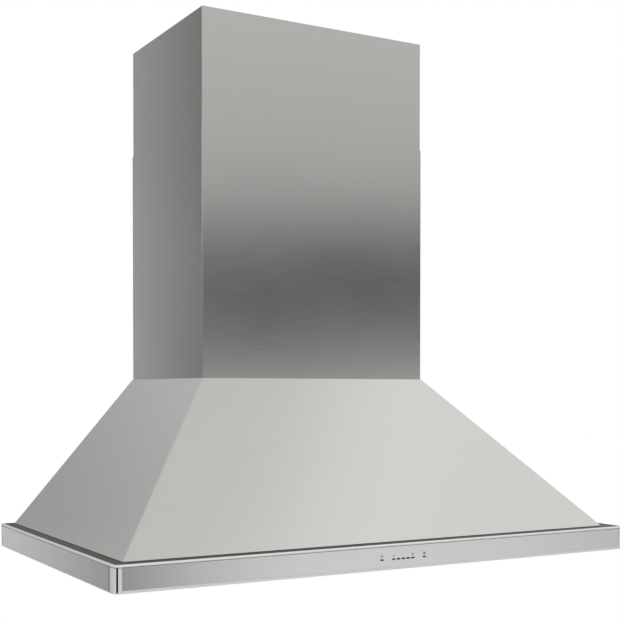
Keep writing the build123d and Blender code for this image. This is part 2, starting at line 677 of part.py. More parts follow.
for side, spot in zip(("left", "right"), lamp_spots):
    with BuildPart() as lamp_housing:
        with BuildSketch(Plane.XY.offset(UNDERSIDE_Z - LAMP_BEZEL_SHEET)):
            with Locations(spot):
                Circle(LAMP_BEZEL_RADIUS)
        extrude(amount=LAMP_BEZEL_SHEET)
        with BuildSketch(Plane.XY.offset(UNDERSIDE_Z)):
            with Locations(spot):
                Circle(LAMP_RADIUS)
        extrude(amount=LAMP_HEIGHT)
        with BuildSketch(Plane.XY.offset(UNDERSIDE_Z - LAMP_BEZEL_SHEET)):
            with Locations(spot):
                Circle(LAMP_RADIUS - LAMP_WALL)
        extrude(amount=LAMP_BEZEL_SHEET + LAMP_HEIGHT - LAMP_WALL, mode=Mode.SUBTRACT)
        bezel_rim = lamp_housing.edges().filter_by(GeomType.CIRCLE).sort_by(Axis.Z)[0:2]
        chamfer(bezel_rim.sort_by(SortBy.RADIUS)[-1], length=LAMP_BEZEL_SHEET / 2)
    lamp_housing.part.label = f"lamp_housing_{side}"
    export_step(lamp_housing.part, f"parts/lamp_housing_{side}.step")

    with BuildPart() as lamp_lens:
        with BuildSketch(Plane.XY.offset(UNDERSIDE_Z - LAMP_BEZEL_SHEET + FACING_SINK)):
            with Locations(spot):
                Circle(LAMP_RADIUS - LAMP_WALL - FIT_PLAY)
        extrude(amount=LENS_THICKNESS)
    lamp_lens.part.label = f"lamp_lens_{side}"
    export_step(lamp_lens.part, f"parts/lamp_lens_{side}.step")

# round boards at the top of the lamp cups, with their light-emitting chips underneath
lamp_board_base = UNDERSIDE_Z + LAMP_HEIGHT - LAMP_WALL - LAMP_BOARD_SHEET
with BuildPart() as lamp_boards:
    with BuildSketch(Plane.XY.offset(lamp_board_base)):
        with Locations(*lamp_spots):
            Circle(LAMP_RADIUS - LAMP_WALL - FIT_PLAY)
    extrude(amount=LAMP_BOARD_SHEET)
    with BuildSketch(Plane.XY.offset(lamp_board_base)):
        with Locations(*lamp_spots):
            with PolarLocations(CHIP_RING, CHIP_COUNT):
                Rectangle(CHIP_SIZE, CHIP_SIZE)
    extrude(amount=-CHIP_HEIGHT)
lamp_boards.part.label = "lamp_boards"
export_step(lamp_boards.part, "parts/lamp_boards.step")

# ---------------------------------------------------------------- baffle filters
filter_sides = ("left", "centre", "right")
filter_opening = FILTER_DEPTH - FILTER_RAIL - FILTER_FRONT_RAIL
filter_opening_y = FILTER_REAR_Y - FILTER_RAIL - filter_opening / 2
baffle_length = filter_opening + 2 * BAFFLE_SEAT
baffle_count = int((FILTER_WIDTH - 2 * FILTER_RAIL) // BAFFLE_PITCH) + 1
grip_y = FILTER_FRONT_Y + GRIP_SETBACK
latch_tip_y = OPENING_FRONT_Y + LATCH_GAP

for index, side in enumerate(filter_sides):
    centre_x = (index - (FILTER_COUNT - 1) / 2) * FILTER_PITCH

    with BuildPart() as filter_frame:
        with BuildSketch(Plane.XY.offset(UNDERSIDE_Z)):
            with Locations((centre_x, FILTER_Y)):
                RectangleRounded(FILTER_WIDTH, FILTER_DEPTH, FILTER_CORNER)
        extrude(amount=FILTER_HEIGHT)
        # the rails are channels, open towards the baffles
        with BuildSketch(Plane.XY.offset(UNDERSIDE_Z + FILTER_SHEET)):
            with Locations((centre_x, FILTER_Y)):
                RectangleRounded(
                    FILTER_WIDTH - 2 * FILTER_SHEET,
                    FILTER_DEPTH - 2 * FILTER_SHEET,
                    FILTER_CORNER - FILTER_SHEET,
                )
        extrude(amount=FILTER_HEIGHT - 2 * FILTER_SHEET, mode=Mode.SUBTRACT)
        with BuildSketch(Plane.XY.offset(UNDERSIDE_Z)):
            with Locations((centre_x, filter_opening_y)):
                Rectangle(FILTER_WIDTH - 2 * FILTER_RAIL, filter_opening)
        extrude(amount=FILTER_HEIGHT, mode=Mode.SUBTRACT)
        # tabs that rest on the rear edge of the opening
        with BuildSketch(Plane.XY.offset(UNDERSIDE_TOP)):
            with Locations((centre_x - TAB_OFFSET, FILTER_REAR_Y), (centre_x + TAB_OFFSET, FILTER_REAR_Y)):
                Rectangle(TAB_WIDTH, FILTER_END_GAP + TAB_REACH, align=(Align.CENTER, Align.MIN))
        extrude(amount=TAB_SHEET)
        # slots for the latch tongue and for its grip
        with BuildSketch(Plane.XZ.offset(-FILTER_FRONT_Y - OVERRUN)):
            with Locations((centre_x, LATCH_Z + LATCH_SHEET / 2)):
                Rectangle(LATCH_WIDTH + 2 * LATCH_PLAY, LATCH_SHEET + 2 * LATCH_PLAY)
        extrude(amount=2 * OVERRUN, mode=Mode.SUBTRACT)
        with BuildSketch(Plane.XY.offset(UNDERSIDE_Z)):
            with Locations((centre_x, grip_y - LATCH_PLAY)):
                Rectangle(
                    GRIP_WIDTH + 2 * LATCH_PLAY,
                    LATCH_TRAVEL + LATCH_SHEET + 2 * LATCH_PLAY,
                    align=(Align.CENTER, Align.MIN),
                )
        extrude(amount=FILTER_SHEET, mode=Mode.SUBTRACT)
    filter_frame.part.label = f"filter_frame_{side}"
    export_step(filter_frame.part, f"parts/filter_frame_{side}.step")

    baffle_rows = (
        (baffle_count, UNDERSIDE_Z + FILTER_SHEET + BAFFLE_PLAY, 1),
        (baffle_count - 1, UNDERSIDE_Z + FILTER_HEIGHT - FILTER_SHEET - BAFFLE_PLAY, -1),
    )
    with BuildPart() as filter_baffles:
        for count, base_z, up in baffle_rows:
            baffle_plane = Plane(
                origin=(centre_x, filter_opening_y - baffle_length / 2, base_z),
                x_dir=(1, 0, 0),
                z_dir=(0, 1, 0),
            )
            with BuildSketch(baffle_plane):
                with GridLocations(BAFFLE_PITCH, 1, count, 1):
                    with Locations((0, -up * BAFFLE_HEIGHT / 2)):
                        Rectangle(BAFFLE_WIDTH, BAFFLE_HEIGHT)
                        with Locations((0, -up * BAFFLE_SHEET)):
                            Rectangle(BAFFLE_WIDTH - 2 * BAFFLE_SHEET, BAFFLE_HEIGHT, mode=Mode.SUBTRACT)
            extrude(amount=baffle_length)
    filter_baffles.part.label = f"filter_baffles_{side}"
    export_step(filter_baffles.part, f"parts/filter_baffles_{side}.step")

    with BuildPart() as filter_latch:
        with BuildSketch(Plane.XY.offset(LATCH_Z)):
            with Locations((centre_x, latch_tip_y)):
                Rectangle(LATCH_WIDTH, LATCH_LENGTH, align=(Align.CENTER, Align.MIN))
        extrude(amount=LATCH_SHEET)
        with BuildSketch(Plane.XY.offset(LATCH_Z)):
            with Locations((centre_x, grip_y)):
                Rectangle(GRIP_WIDTH, LATCH_SHEET, align=(Align.CENTER, Align.MIN))
        extrude(amount=-GRIP_DROP)
        grip_corners = filter_latch.edges().filter_by(Axis.Y).group_by(Axis.Z)[0]
        fillet(grip_corners, radius=GRIP_DROP / 3)
    filter_latch.part.label = f"filter_latch_{side}"
    export_step(filter_latch.part, f"parts/filter_latch_{side}.step")

# ---------------------------------------------------------------- touch controls
web_back = DEPTH - WEB_INSET
with BuildPart() as control_carrier:
    with BuildSketch(Plane.XZ.offset(web_back)):
        with Locations((CONTROL_CENTRE_X, CONTROL_Z)):
            Rectangle(BOARD_WIDTH + CARRIER_BORDER, BOARD_HEIGHT + CARRIER_BORDER)
            Rectangle(BOARD_WIDTH - 2 * CARRIER_BORDER, BOARD_HEIGHT - CARRIER_BORDER, mode=Mode.SUBTRACT)
    extrude(amount=-CARRIER_DEPTH)
    with BuildSketch(Plane.XZ.offset(web_back - CARRIER_DEPTH)):
        with Locations((CONTROL_CENTRE_X, CONTROL_Z)):
            Rectangle(BOARD_WIDTH, BOARD_HEIGHT)
    extrude(amount=BOARD_SHEET, mode=Mode.SUBTRACT)
control_carrier.part.label = "control_carrier"
export_step(control_carrier.part, "parts/control_carrier.step")

board_face = web_back - CARRIER_DEPTH + BOARD_SHEET
with BuildPart() as touch_board:
    with BuildSketch(Plane.XZ.offset(board_face)):
        with Locations((CONTROL_CENTRE_X, CONTROL_Z)):
            Rectangle(BOARD_WIDTH - 2 * FIT_PLAY, BOARD_HEIGHT - 2 * FIT_PLAY)
    extrude(amount=-BOARD_SHEET)
touch_board.part.label = "touch_board"
export_step(touch_board.part, "parts/touch_board.step")

with BuildPart() as indicator_lights:
    with BuildSketch(Plane.XZ.offset(board_face)):
        with Locations(*light_spots):
            Rectangle(LIGHT_WIDTH, LIGHT_HEIGHT)
    extrude(amount=DEPTH - FACING_SINK - board_face)
indicator_lights.part.label = "indicator_lights"
export_step(indicator_lights.part, "parts/indicator_lights.step")

# ---------------------------------------------------------------- blower
deck_inset = 2 * CANOPY_SHEET
bracket_screw_x = BLOWER_HALF + (BLOWER_BRACKET_LEG + BLOWER_BRACKET_SHEET) / 2
bracket_screw_y = BLOWER_BRACKET_WIDTH / 2 - BRACKET_SCREW_INSET
bracket_screw_spots = [
    (x, OUTLET_Y + y)
    for x in (-bracket_screw_x, bracket_screw_x)
    for y in (-bracket_screw_y, bracket_screw_y)
]
with BuildPart() as blower_deck:
    with BuildSketch(Plane.XY.offset(DECK_TOP - DECK_SHEET)):
        with Locations((0, -BACK_SHEET)):
            Rectangle(
                CANOPY_TOP_WIDTH - 2 * deck_inset,
                CANOPY_TOP_DEPTH - BACK_SHEET - deck_inset,
                align=(Align.CENTER, Align.MAX),
            )
        with Locations((0, OUTLET_Y)):
            Rectangle(
                BLOWER_WIDTH + 2 * DECK_CLEARANCE,
                THROAT_DEPTH + 2 * BLOWER_SHEET + 2 * DECK_CLEARANCE,
                mode=Mode.SUBTRACT,
            )
        with Locations(*bracket_screw_spots, *cover_screw_spots):
            Circle(SCREW_RADIUS + SCREW_PLAY, mode=Mode.SUBTRACT)
    extrude(amount=DECK_SHEET)
blower_deck.part.label = "blower_deck"
export_step(blower_deck.part, "parts/blower_deck.step")

with BuildPart() as blower_brackets:
    with BuildSketch(Plane.XZ.offset(-OUTLET_Y - BLOWER_BRACKET_WIDTH / 2)):
        with Locations((BLOWER_HALF, DECK_TOP - DECK_SHEET)):
            Rectangle(BLOWER_BRACKET_SHEET, BLOWER_BRACKET_DROP, align=(Align.MIN, Align.MAX))
            Rectangle(BLOWER_BRACKET_LEG, BLOWER_BRACKET_SHEET, align=(Align.MIN, Align.MAX))
    extrude(amount=BLOWER_BRACKET_WIDTH)
    with BuildSketch(Plane.XY.offset(DECK_TOP - DECK_SHEET - OVERRUN)):
        with Locations(*bracket_screw_spots):
            Circle(SCREW_RADIUS + SCREW_PLAY)
    extrude(amount=2 * OVERRUN, mode=Mode.SUBTRACT)
    mirror(about=Plane.YZ)
blower_brackets.part.label = "blower_brackets"
export_step(blower_brackets.part, "parts/blower_brackets.step")

with BuildPart() as blower_scroll:
    with BuildSketch(blower_plane(-BLOWER_HALF + BLOWER_SHEET)):
        add(scroll_face(BLOWER_SHEET))
        add(scroll_face(0), mode=Mode.SUBTRACT)
        with Locations(((SCROLL_OUT + THROAT_IN) / 2, THROAT_RISE)):
            Rectangle(THROAT_DEPTH, 2 * BLOWER_SHEET, mode=Mode.SUBTRACT)
    extrude(amount=BLOWER_WIDTH - 2 * BLOWER_SHEET)
blower_scroll.part.label = "blower_scroll"
export_step(blower_scroll.part, "parts/blower_scroll.step")

inlet_mouth = INLET_RADIUS + INLET_FLARE
with BuildPart() as blower_side_right:
    with BuildSketch(blower_plane(BLOWER_HALF - BLOWER_SHEET)):
        add(scroll_face(BLOWER_SHEET))
        Circle(inlet_mouth, mode=Mode.SUBTRACT)
    extrude(amount=BLOWER_SHEET)
    # rolled inlet: a quarter-round lip that leads the air into the wheel
    with BuildSketch(Plane(origin=(0, BLOWER_Y, BLOWER_Z), x_dir=(1, 0, 0), z_dir=(0, -1, 0))):
        with Locations((BLOWER_HALF - INLET_FLARE, inlet_mouth)):
            Circle(INLET_FLARE)
            Circle(INLET_FLARE - BLOWER_SHEET, mode=Mode.SUBTRACT)
            Rectangle(
                INLET_FLARE,
                INLET_FLARE,
                align=(Align.MIN, Align.MAX),
                mode=Mode.INTERSECT,
            )
    revolve(axis=Axis((0, BLOWER_Y, BLOWER_Z), (1, 0, 0)))
blower_side_right.part.label = "blower_side_right"
export_step(blower_side_right.part, "parts/blower_side_right.step")

with BuildPart() as blower_side_left:
    add(blower_side_right.part)
    mirror(about=Plane.YZ, mode=Mode.REPLACE)
blower_side_left.part.label = "blower_side_left"
export_step(blower_side_left.part, "parts/blower_side_left.step")

with BuildPart() as motor_bracket:
    with BuildSketch(blower_plane(-BLOWER_HALF - ARM_FOOT)):
        Circle(MOTOR_FLANGE_RADIUS)
        with PolarLocations(ARM_REACH / 2, ARM_COUNT, start_angle=ARM_START_ANGLE):
            Rectangle(ARM_REACH, ARM_WIDTH)
        with PolarLocations(ARM_REACH, ARM_COUNT, start_angle=ARM_START_ANGLE):
            Circle(ARM_WIDTH / 2)
        Circle(MOTOR_RADIUS + FIT_PLAY, mode=Mode.SUBTRACT)
    extrude(amount=-ARM_SHEET)
    with BuildSketch(blower_plane(-BLOWER_HALF - ARM_FOOT)):
        with PolarLocations(ARM_REACH, ARM_COUNT, start_angle=ARM_START_ANGLE):
            Circle(ARM_WIDTH / 2)
    extrude(amount=ARM_FOOT)
motor_bracket.part.label = "motor_bracket"
export_step(motor_bracket.part, "parts/motor_bracket.step")

motor_flange_x = -BLOWER_HALF - ARM_FOOT - ARM_SHEET
with BuildPart() as fan_motor:
    with BuildSketch(blower_plane(MOTOR_INNER_X)):
        Circle(MOTOR_RADIUS)
    extrude(amount=-MOTOR_LENGTH)
    chamfer(fan_motor.edges().filter_by(GeomType.CIRCLE), length=MOTOR_EDGE)
    with BuildSketch(blower_plane(motor_flange_x)):
        Circle(MOTOR_FLANGE_RADIUS)
    extrude(amount=-MOTOR_FLANGE_SHEET)
    with BuildSketch(blower_plane(MOTOR_INNER_X)):
        Circle(SHAFT_RADIUS + SHAFT_PLAY)
    extrude(amount=-MOTOR_LENGTH, mode=Mode.SUBTRACT)
    # cooling slots in the outer end
    with BuildSketch(blower_plane(MOTOR_INNER_X - MOTOR_LENGTH)):
        with PolarLocations(VENT_RING, VENT_COUNT):
            SlotOverall(VENT_LENGTH, VENT_WIDTH)
    extrude(amount=VENT_DEPTH, mode=Mode.SUBTRACT)
fan_motor.part.label = "fan_motor"
export_step(fan_motor.part, "parts/fan_motor.step")

with BuildPart() as fan_shaft:
    with BuildSketch(blower_plane(HUB_LENGTH / 2)):
        Circle(SHAFT_RADIUS)
    extrude(amount=-(HUB_LENGTH / 2 - MOTOR_INNER_X + MOTOR_LENGTH))
fan_shaft.part.label = "fan_shaft"
export_step(fan_shaft.part, "parts/fan_shaft.step")

blade_root = INLET_RADIUS + BLADE_SHEET
blade_tip = WHEEL_RADIUS - BLADE_SHEET
with BuildPart() as fan_wheel:
    with BuildSketch(blower_plane(-WHEEL_WIDTH / 2)):
        with PolarLocations(0, BLADE_COUNT):
            with BuildLine() as blade:
                ThreePointArc(
                    (blade_root, 0),
                    ((blade_root + blade_tip) / 2, BLADE_CAMBER),
                    (blade_tip, BLADE_LEAN),
                )
                offset(amount=BLADE_SHEET / 2)
            make_face()
    extrude(amount=WHEEL_WIDTH)
    with BuildSketch(blower_plane(-WHEEL_DISC_SHEET / 2)):
        Circle(WHEEL_RADIUS)
    extrude(amount=WHEEL_DISC_SHEET)
    for ring_x in (-WHEEL_WIDTH / 2, WHEEL_WIDTH / 2 - WHEEL_RING_SHEET):
        with BuildSketch(blower_plane(ring_x)):
            Circle(WHEEL_RADIUS)
            Circle(WHEEL_RADIUS - WHEEL_RING, mode=Mode.SUBTRACT)
        extrude(amount=WHEEL_RING_SHEET)
    with BuildSketch(blower_plane(-HUB_LENGTH / 2)):
        Circle(HUB_RADIUS)
    extrude(amount=HUB_LENGTH)
    with BuildSketch(blower_plane(-HUB_LENGTH)):
        Circle(SHAFT_RADIUS)
    extrude(amount=2 * HUB_LENGTH, mode=Mode.SUBTRACT)
fan_wheel.part.label = "fan_wheel"
export_step(fan_wheel.part, "parts/fan_wheel.step")

# ---------------------------------------------------------------- outlet and damper
outlet_width = BLOWER_WIDTH
outlet_depth = THROAT_DEPTH + 2 * BLOWER_SHEET
outlet_base = THROAT_TOP + BLOWER_SHEET
with BuildPart() as outlet_transition:
    for shrink, mode in ((0, Mode.ADD), (BLOWER_SHEET, Mode.SUBTRACT)):
        with BuildSketch(Plane.XY.offset(outlet_base)):
            with Locations((0, OUTLET_Y)):
                Rectangle(outlet_width - 2 * shrink, outlet_depth - 2 * shrink)
        with BuildSketch(Plane.XY.offset(NECK_BASE)):
            with Locations((0, OUTLET_Y)):
                Circle(NECK_RADIUS - shrink)
        loft(ruled=True, mode=mode)
    with BuildSketch(Plane.XY.offset(THROAT_TOP)):
        with Locations((0, OUTLET_Y)):
            Rectangle(outlet_width + 2 * OUTLET_FLANGE, outlet_depth + 2 * OUTLET_FLANGE)
            Rectangle(outlet_width - 2 * BLOWER_SHEET, outlet_depth - 2 * BLOWER_SHEET, mode=Mode.SUBTRACT)
    extrude(amount=BLOWER_SHEET)
    with BuildSketch(Plane.XY.offset(NECK_BASE)):
        with Locations((0, OUTLET_Y)):
            Circle(NECK_FLANGE_RADIUS)
            Circle(NECK_RADIUS - BLOWER_SHEET, mode=Mode.SUBTRACT)
    extrude(amount=BLOWER_SHEET)
    with BuildSketch(Plane.XY.offset(NECK_BASE)):
        with Locations((0, OUTLET_Y)):
            Circle(NECK_RADIUS)
            Circle(NECK_RADIUS - BLOWER_SHEET, mode=Mode.SUBTRACT)
    extrude(amount=BLOWER_SHEET + NECK_HEIGHT)
outlet_transition.part.label = "outlet_transition"
export_step(outlet_transition.part, "parts/outlet_transition.step")

with BuildPart() as duct_collar:
    with BuildSketch(Plane.XY.offset(COLLAR_BASE)):
        with Locations((0, OUTLET_Y)):
            Circle(COLLAR_RADIUS)
            Circle(COLLAR_BORE, mode=Mode.SUBTRACT)
    extrude(amount=COLLAR_HEIGHT)
    with BuildSketch(Plane.XY.offset(COLLAR_BASE)):
        with Locations((0, OUTLET_Y)):
            Circle(NECK_FLANGE_RADIUS)
            Circle(COLLAR_BORE, mode=Mode.SUBTRACT)
    extrude(amount=COLLAR_FLANGE_SHEET)
    # ledge that the closed flaps rest over
    with BuildSketch(Plane.XY.offset(COLLAR_BASE + STOP_RING_Z)):
        with Locations((0, OUTLET_Y)):
            Circle(COLLAR_RADIUS - COLLAR_WALL / 2)
            Circle(COLLAR_BORE - STOP_RING_WIDTH, mode=Mode.SUBTRACT)
    extrude(amount=STOP_RING_HEIGHT)
    with BuildSketch(Plane.YZ.offset(-COLLAR_RADIUS)):
        with Locations((OUTLET_Y, ROD_Z)):
            Circle(ROD_RADIUS + ROD_PLAY)
    extrude(amount=2 * COLLAR_RADIUS, mode=Mode.SUBTRACT)
duct_collar.part.label = "duct_collar"
export_step(duct_collar.part, "parts/duct_collar.step")

rod_half = COLLAR_BORE + COLLAR_WALL / 2
with BuildPart() as damper_rod:
    with BuildSketch(Plane.YZ.offset(-rod_half)):
        with Locations((OUTLET_Y, ROD_Z)):
            Circle(ROD_RADIUS)
    extrude(amount=2 * rod_half)
damper_rod.part.label = "damper_rod"
export_step(damper_rod.part, "parts/damper_rod.step")

flap_base = STOP_TOP + FLAP_REST_GAP
for side, away, offsets in (
    ("front", -1, (-KNUCKLE_OFFSETS[1], KNUCKLE_OFFSETS[0])),
    ("rear", 1, (-KNUCKLE_OFFSETS[0], KNUCKLE_OFFSETS[1])),
):
    with BuildPart() as damper_flap:
        with BuildSketch(Plane.XY.offset(flap_base)):
            with Locations((0, OUTLET_Y)):
                Circle(COLLAR_BORE - FLAP_EDGE_GAP)
            with Locations((0, OUTLET_Y + away * (FLAP_HINGE_GAP + COLLAR_RADIUS))):
                Rectangle(2 * COLLAR_RADIUS, 2 * COLLAR_RADIUS, mode=Mode.INTERSECT)
        extrude(amount=FLAP_SHEET)
        for offset_x in offsets:
            # leaf from the flap to its knuckle, then the knuckle round the rod
            with BuildSketch(Plane.XY.offset(flap_base)):
                with Locations((offset_x, OUTLET_Y + away * (FLAP_HINGE_GAP + ROD_RADIUS) / 2)):
                    Rectangle(KNUCKLE_LENGTH, FLAP_HINGE_GAP)
            extrude(amount=FLAP_SHEET)
            with BuildSketch(Plane.YZ.offset(offset_x - KNUCKLE_LENGTH / 2)):
                with Locations((OUTLET_Y, ROD_Z)):
                    Circle(KNUCKLE_RADIUS)
            extrude(amount=KNUCKLE_LENGTH)
        with BuildSketch(Plane.YZ.offset(-COLLAR_RADIUS)):
            with Locations((OUTLET_Y, ROD_Z)):
                Circle(ROD_RADIUS + ROD_PLAY)
        extrude(amount=2 * COLLAR_RADIUS, mode=Mode.SUBTRACT)
    damper_flap.part.label = f"damper_flap_{side}"
    export_step(damper_flap.part, f"parts/damper_flap_{side}.step")

# ---------------------------------------------------------------- electrics
box_plane = Plane.XZ.offset(BACK_SHEET)
box_floor = BOX_CENTRE_Z - BOX_HEIGHT / 2
capacitor_spot = (BOX_CENTRE_X + CAPACITOR_OFFSET, -BACK_SHEET - BOX_DEPTH / 2)
with BuildPart() as control_box:
    with BuildSketch(box_plane):
        with Locations((BOX_CENTRE_X, BOX_CENTRE_Z)):
            Rectangle(BOX_WIDTH, BOX_HEIGHT)
    extrude(amount=BOX_DEPTH)
    offset(amount=-BOX_SHEET, openings=control_box.faces().sort_by(Axis.Y)[0])
    with BuildSketch(box_plane):
        with Locations((BOX_CENTRE_X, BOX_CENTRE_Z)):
            Circle(GLAND_RADIUS + FIT_PLAY)
    extrude(amount=BOX_SHEET, mode=Mode.SUBTRACT)
    # posts for the relay board
    with BuildSketch(box_plane.offset(BOX_SHEET)):
        with Locations((BOX_CENTRE_X + RELAY_BOARD_OFFSET, BOX_CENTRE_Z)):
            with GridLocations(RELAY_BOARD_WIDTH - 2 * POST_INSET, RELAY_BOARD_HEIGHT - 2 * POST_INSET, 2, 2):
                Circle(POST_RADIUS)
    extrude(amount=POST_HEIGHT)
    # hole in the floor for the capacitor's stud
    with BuildSketch(Plane.XY.offset(box_floor)):
        with Locations(capacitor_spot):
            Circle(CAPACITOR_STUD_RADIUS + SCREW_PLAY)
    extrude(amount=BOX_SHEET, mode=Mode.SUBTRACT)
control_box.part.label = "control_box"
export_step(control_box.part, "parts/control_box.step")

with BuildPart() as control_box_lid:
    with BuildSketch(box_plane.offset(BOX_DEPTH)):
        with Locations((BOX_CENTRE_X, BOX_CENTRE_Z)):
            Rectangle(BOX_WIDTH, BOX_HEIGHT)
    extrude(amount=BOX_SHEET)
control_box_lid.part.label = "control_box_lid"
export_step(control_box_lid.part, "parts/control_box_lid.step")

with BuildPart() as cable_gland:
    with BuildSketch(Plane.XZ):
        with Locations((BOX_CENTRE_X, BOX_CENTRE_Z)):
            Circle(GLAND_RADIUS)
    extrude(amount=GLAND_LENGTH)
    with BuildSketch(box_plane.offset(BOX_SHEET)):
        with Locations((BOX_CENTRE_X, BOX_CENTRE_Z)):
            Circle(GLAND_FLANGE_RADIUS)
    extrude(amount=GLAND_FLANGE_SHEET)
    with BuildSketch(Plane.XZ):
        with Locations((BOX_CENTRE_X, BOX_CENTRE_Z)):
            Circle(GLAND_BORE)
    extrude(amount=GLAND_LENGTH, mode=Mode.SUBTRACT)
cable_gland.part.label = "cable_gland"
export_step(cable_gland.part, "parts/cable_gland.step")

with BuildPart() as motor_capacitor:
    with BuildSketch(Plane.XY.offset(box_floor + BOX_SHEET)):
        with Locations(capacitor_spot):
            Circle(CAPACITOR_RADIUS)
    extrude(amount=CAPACITOR_HEIGHT)
    chamfer(motor_capacitor.edges().filter_by(GeomType.CIRCLE), length=CAPACITOR_EDGE)
    with BuildSketch(Plane.XY.offset(box_floor + BOX_SHEET)):
        with Locations(capacitor_spot):
            Circle(CAPACITOR_STUD_RADIUS)
    extrude(amount=-CAPACITOR_STUD_LENGTH)
motor_capacitor.part.label = "motor_capacitor"
export_step(motor_capacitor.part, "parts/motor_capacitor.step")

with BuildPart() as capacitor_nut:
    with BuildSketch(Plane.XY.offset(box_floor)):
        with Locations(capacitor_spot):
            RegularPolygon(NUT_ACROSS_FLATS / 2, 6, major_radius=False)
            Circle(CAPACITOR_STUD_RADIUS, mode=Mode.SUBTRACT)
    extrude(amount=-NUT_HEIGHT)
capacitor_nut.part.label = "capacitor_nut"
export_step(capacitor_nut.part, "parts/capacitor_nut.step")

with BuildPart() as relay_board:
    with BuildSketch(box_plane.offset(BOX_SHEET + POST_HEIGHT)):
        with Locations((BOX_CENTRE_X + RELAY_BOARD_OFFSET, BOX_CENTRE_Z)):
            Rectangle(RELAY_BOARD_WIDTH, RELAY_BOARD_HEIGHT)
    extrude(amount=RELAY_BOARD_SHEET)
    # relays soldered to the board's face
    with BuildSketch(box_plane.offset(BOX_SHEET + POST_HEIGHT + RELAY_BOARD_SHEET)):
        with Locations((BOX_CENTRE_X + RELAY_BOARD_OFFSET, BOX_CENTRE_Z)):
            with GridLocations(1, RELAY_PITCH, 1, RELAY_COUNT):
                Rectangle(RELAY_SIZE[0], RELAY_SIZE[1])
    extrude(amount=RELAY_SIZE[2])
relay_board.part.label = "relay_board"
export_step(relay_board.part, "parts/relay_board.step")

with BuildPart() as led_driver:
    with BuildSketch(box_plane):
        with Locations((DRIVER_CENTRE_X, BOX_CENTRE_Z)):
            Rectangle(DRIVER_WIDTH, DRIVER_HEIGHT)
    extrude(amount=DRIVER_DEPTH)
    fillet(led_driver.edges().filter_by(Axis.Y), radius=DRIVER_EDGE)
led_driver.part.label = "led_driver"
export_step(led_driver.part, "parts/led_driver.step")

# ---------------------------------------------------------------- duct covers
with BuildPart() as lower_cover:
    with BuildSketch(Plane.XY.offset(CANOPY_TOP_Z)):
        add(cover_band(0, COVER_SHEET))
    extrude(amount=LOWER_COVER_HEIGHT)
    with BuildSketch(Plane.XY.offset(CANOPY_TOP_Z)):
        with Locations((0, -COVER_DEPTH / 2)):
            RectangleRounded(COVER_WIDTH, COVER_DEPTH, COVER_BEND)
        with Locations((0, OVERRUN)):
            Rectangle(
                COVER_WIDTH - 2 * COVER_FLANGE,
                COVER_DEPTH - COVER_FLANGE + OVERRUN,
                align=(Align.CENTER, Align.MAX),
                mode=Mode.SUBTRACT,
            )
        with Locations(*cover_screw_spots):
            Circle(SCREW_RADIUS + SCREW_PLAY, mode=Mode.SUBTRACT)
    extrude(amount=COVER_SHEET)
lower_cover.part.label = "lower_cover"
export_step(lower_cover.part, "parts/lower_cover.step")

with BuildPart() as upper_cover:
    with BuildSketch(Plane.XY.offset(UPPER_COVER_BASE)):
        add(cover_band(NESTING, COVER_SHEET))
    extrude(amount=UPPER_COVER_HEIGHT)
upper_cover.part.label = "upper_cover"
export_step(upper_cover.part, "parts/upper_cover.step")

inner_half = COVER_WIDTH / 2 - NESTING - COVER_SHEET
return_front = NESTING + COVER_SHEET
bracket_half = COVER_WIDTH / 2 - NESTING - COVER_RETURN - BRACKET_RETURN_GAP
bracket_bend = COVER_BEND - COVER_SHEET + COVER_GAP
bracket_top = UPPER_COVER_TOP - BRACKET_DROP
with BuildPart() as ceiling_bracket:
    with BuildSketch(Plane.XY.offset(bracket_top - BRACKET_HEIGHT)):
        Rectangle(2 * bracket_half, BRACKET_SHEET, align=(Align.CENTER, Align.MAX))
        # each end steps forward past the cover's return, then turns along its side wall
        for flip, edge in ((1, Align.MAX), (-1, Align.MIN)):
            with Locations((flip * bracket_half, 0)):
                Rectangle(BRACKET_SHEET, return_front + BRACKET_SHEET, align=(edge, Align.MAX))
            with Locations((flip * inner_half, -return_front)):
                Rectangle(
                    inner_half - bracket_half + BRACKET_SHEET,
                    BRACKET_SHEET,
                    align=(edge, Align.MAX),
                )
                Rectangle(BRACKET_SHEET, BRACKET_EAR, align=(edge, Align.MAX))
    extrude(amount=BRACKET_HEIGHT)
    # bends beside the cover's own rounded rear corners
    uprights = ceiling_bracket.edges().filter_by(Axis.Z)
    outer_bends = [uprights.group_by(Axis.X)[side].sort_by(Axis.Y)[-1] for side in (0, -1)]
    fillet(outer_bends, radius=bracket_bend)
    with BuildSketch(Plane.XZ.offset(-OVERRUN)):
        with Locations((0, bracket_top - BRACKET_HEIGHT / 2)):
            with GridLocations(BRACKET_HOLE_SPACING, 1, 2, 1):
                Circle(BRACKET_HOLE_RADIUS)
    extrude(amount=2 * OVERRUN, mode=Mode.SUBTRACT)
ceiling_bracket.part.label = "ceiling_bracket"
export_step(ceiling_bracket.part, "parts/ceiling_bracket.step")

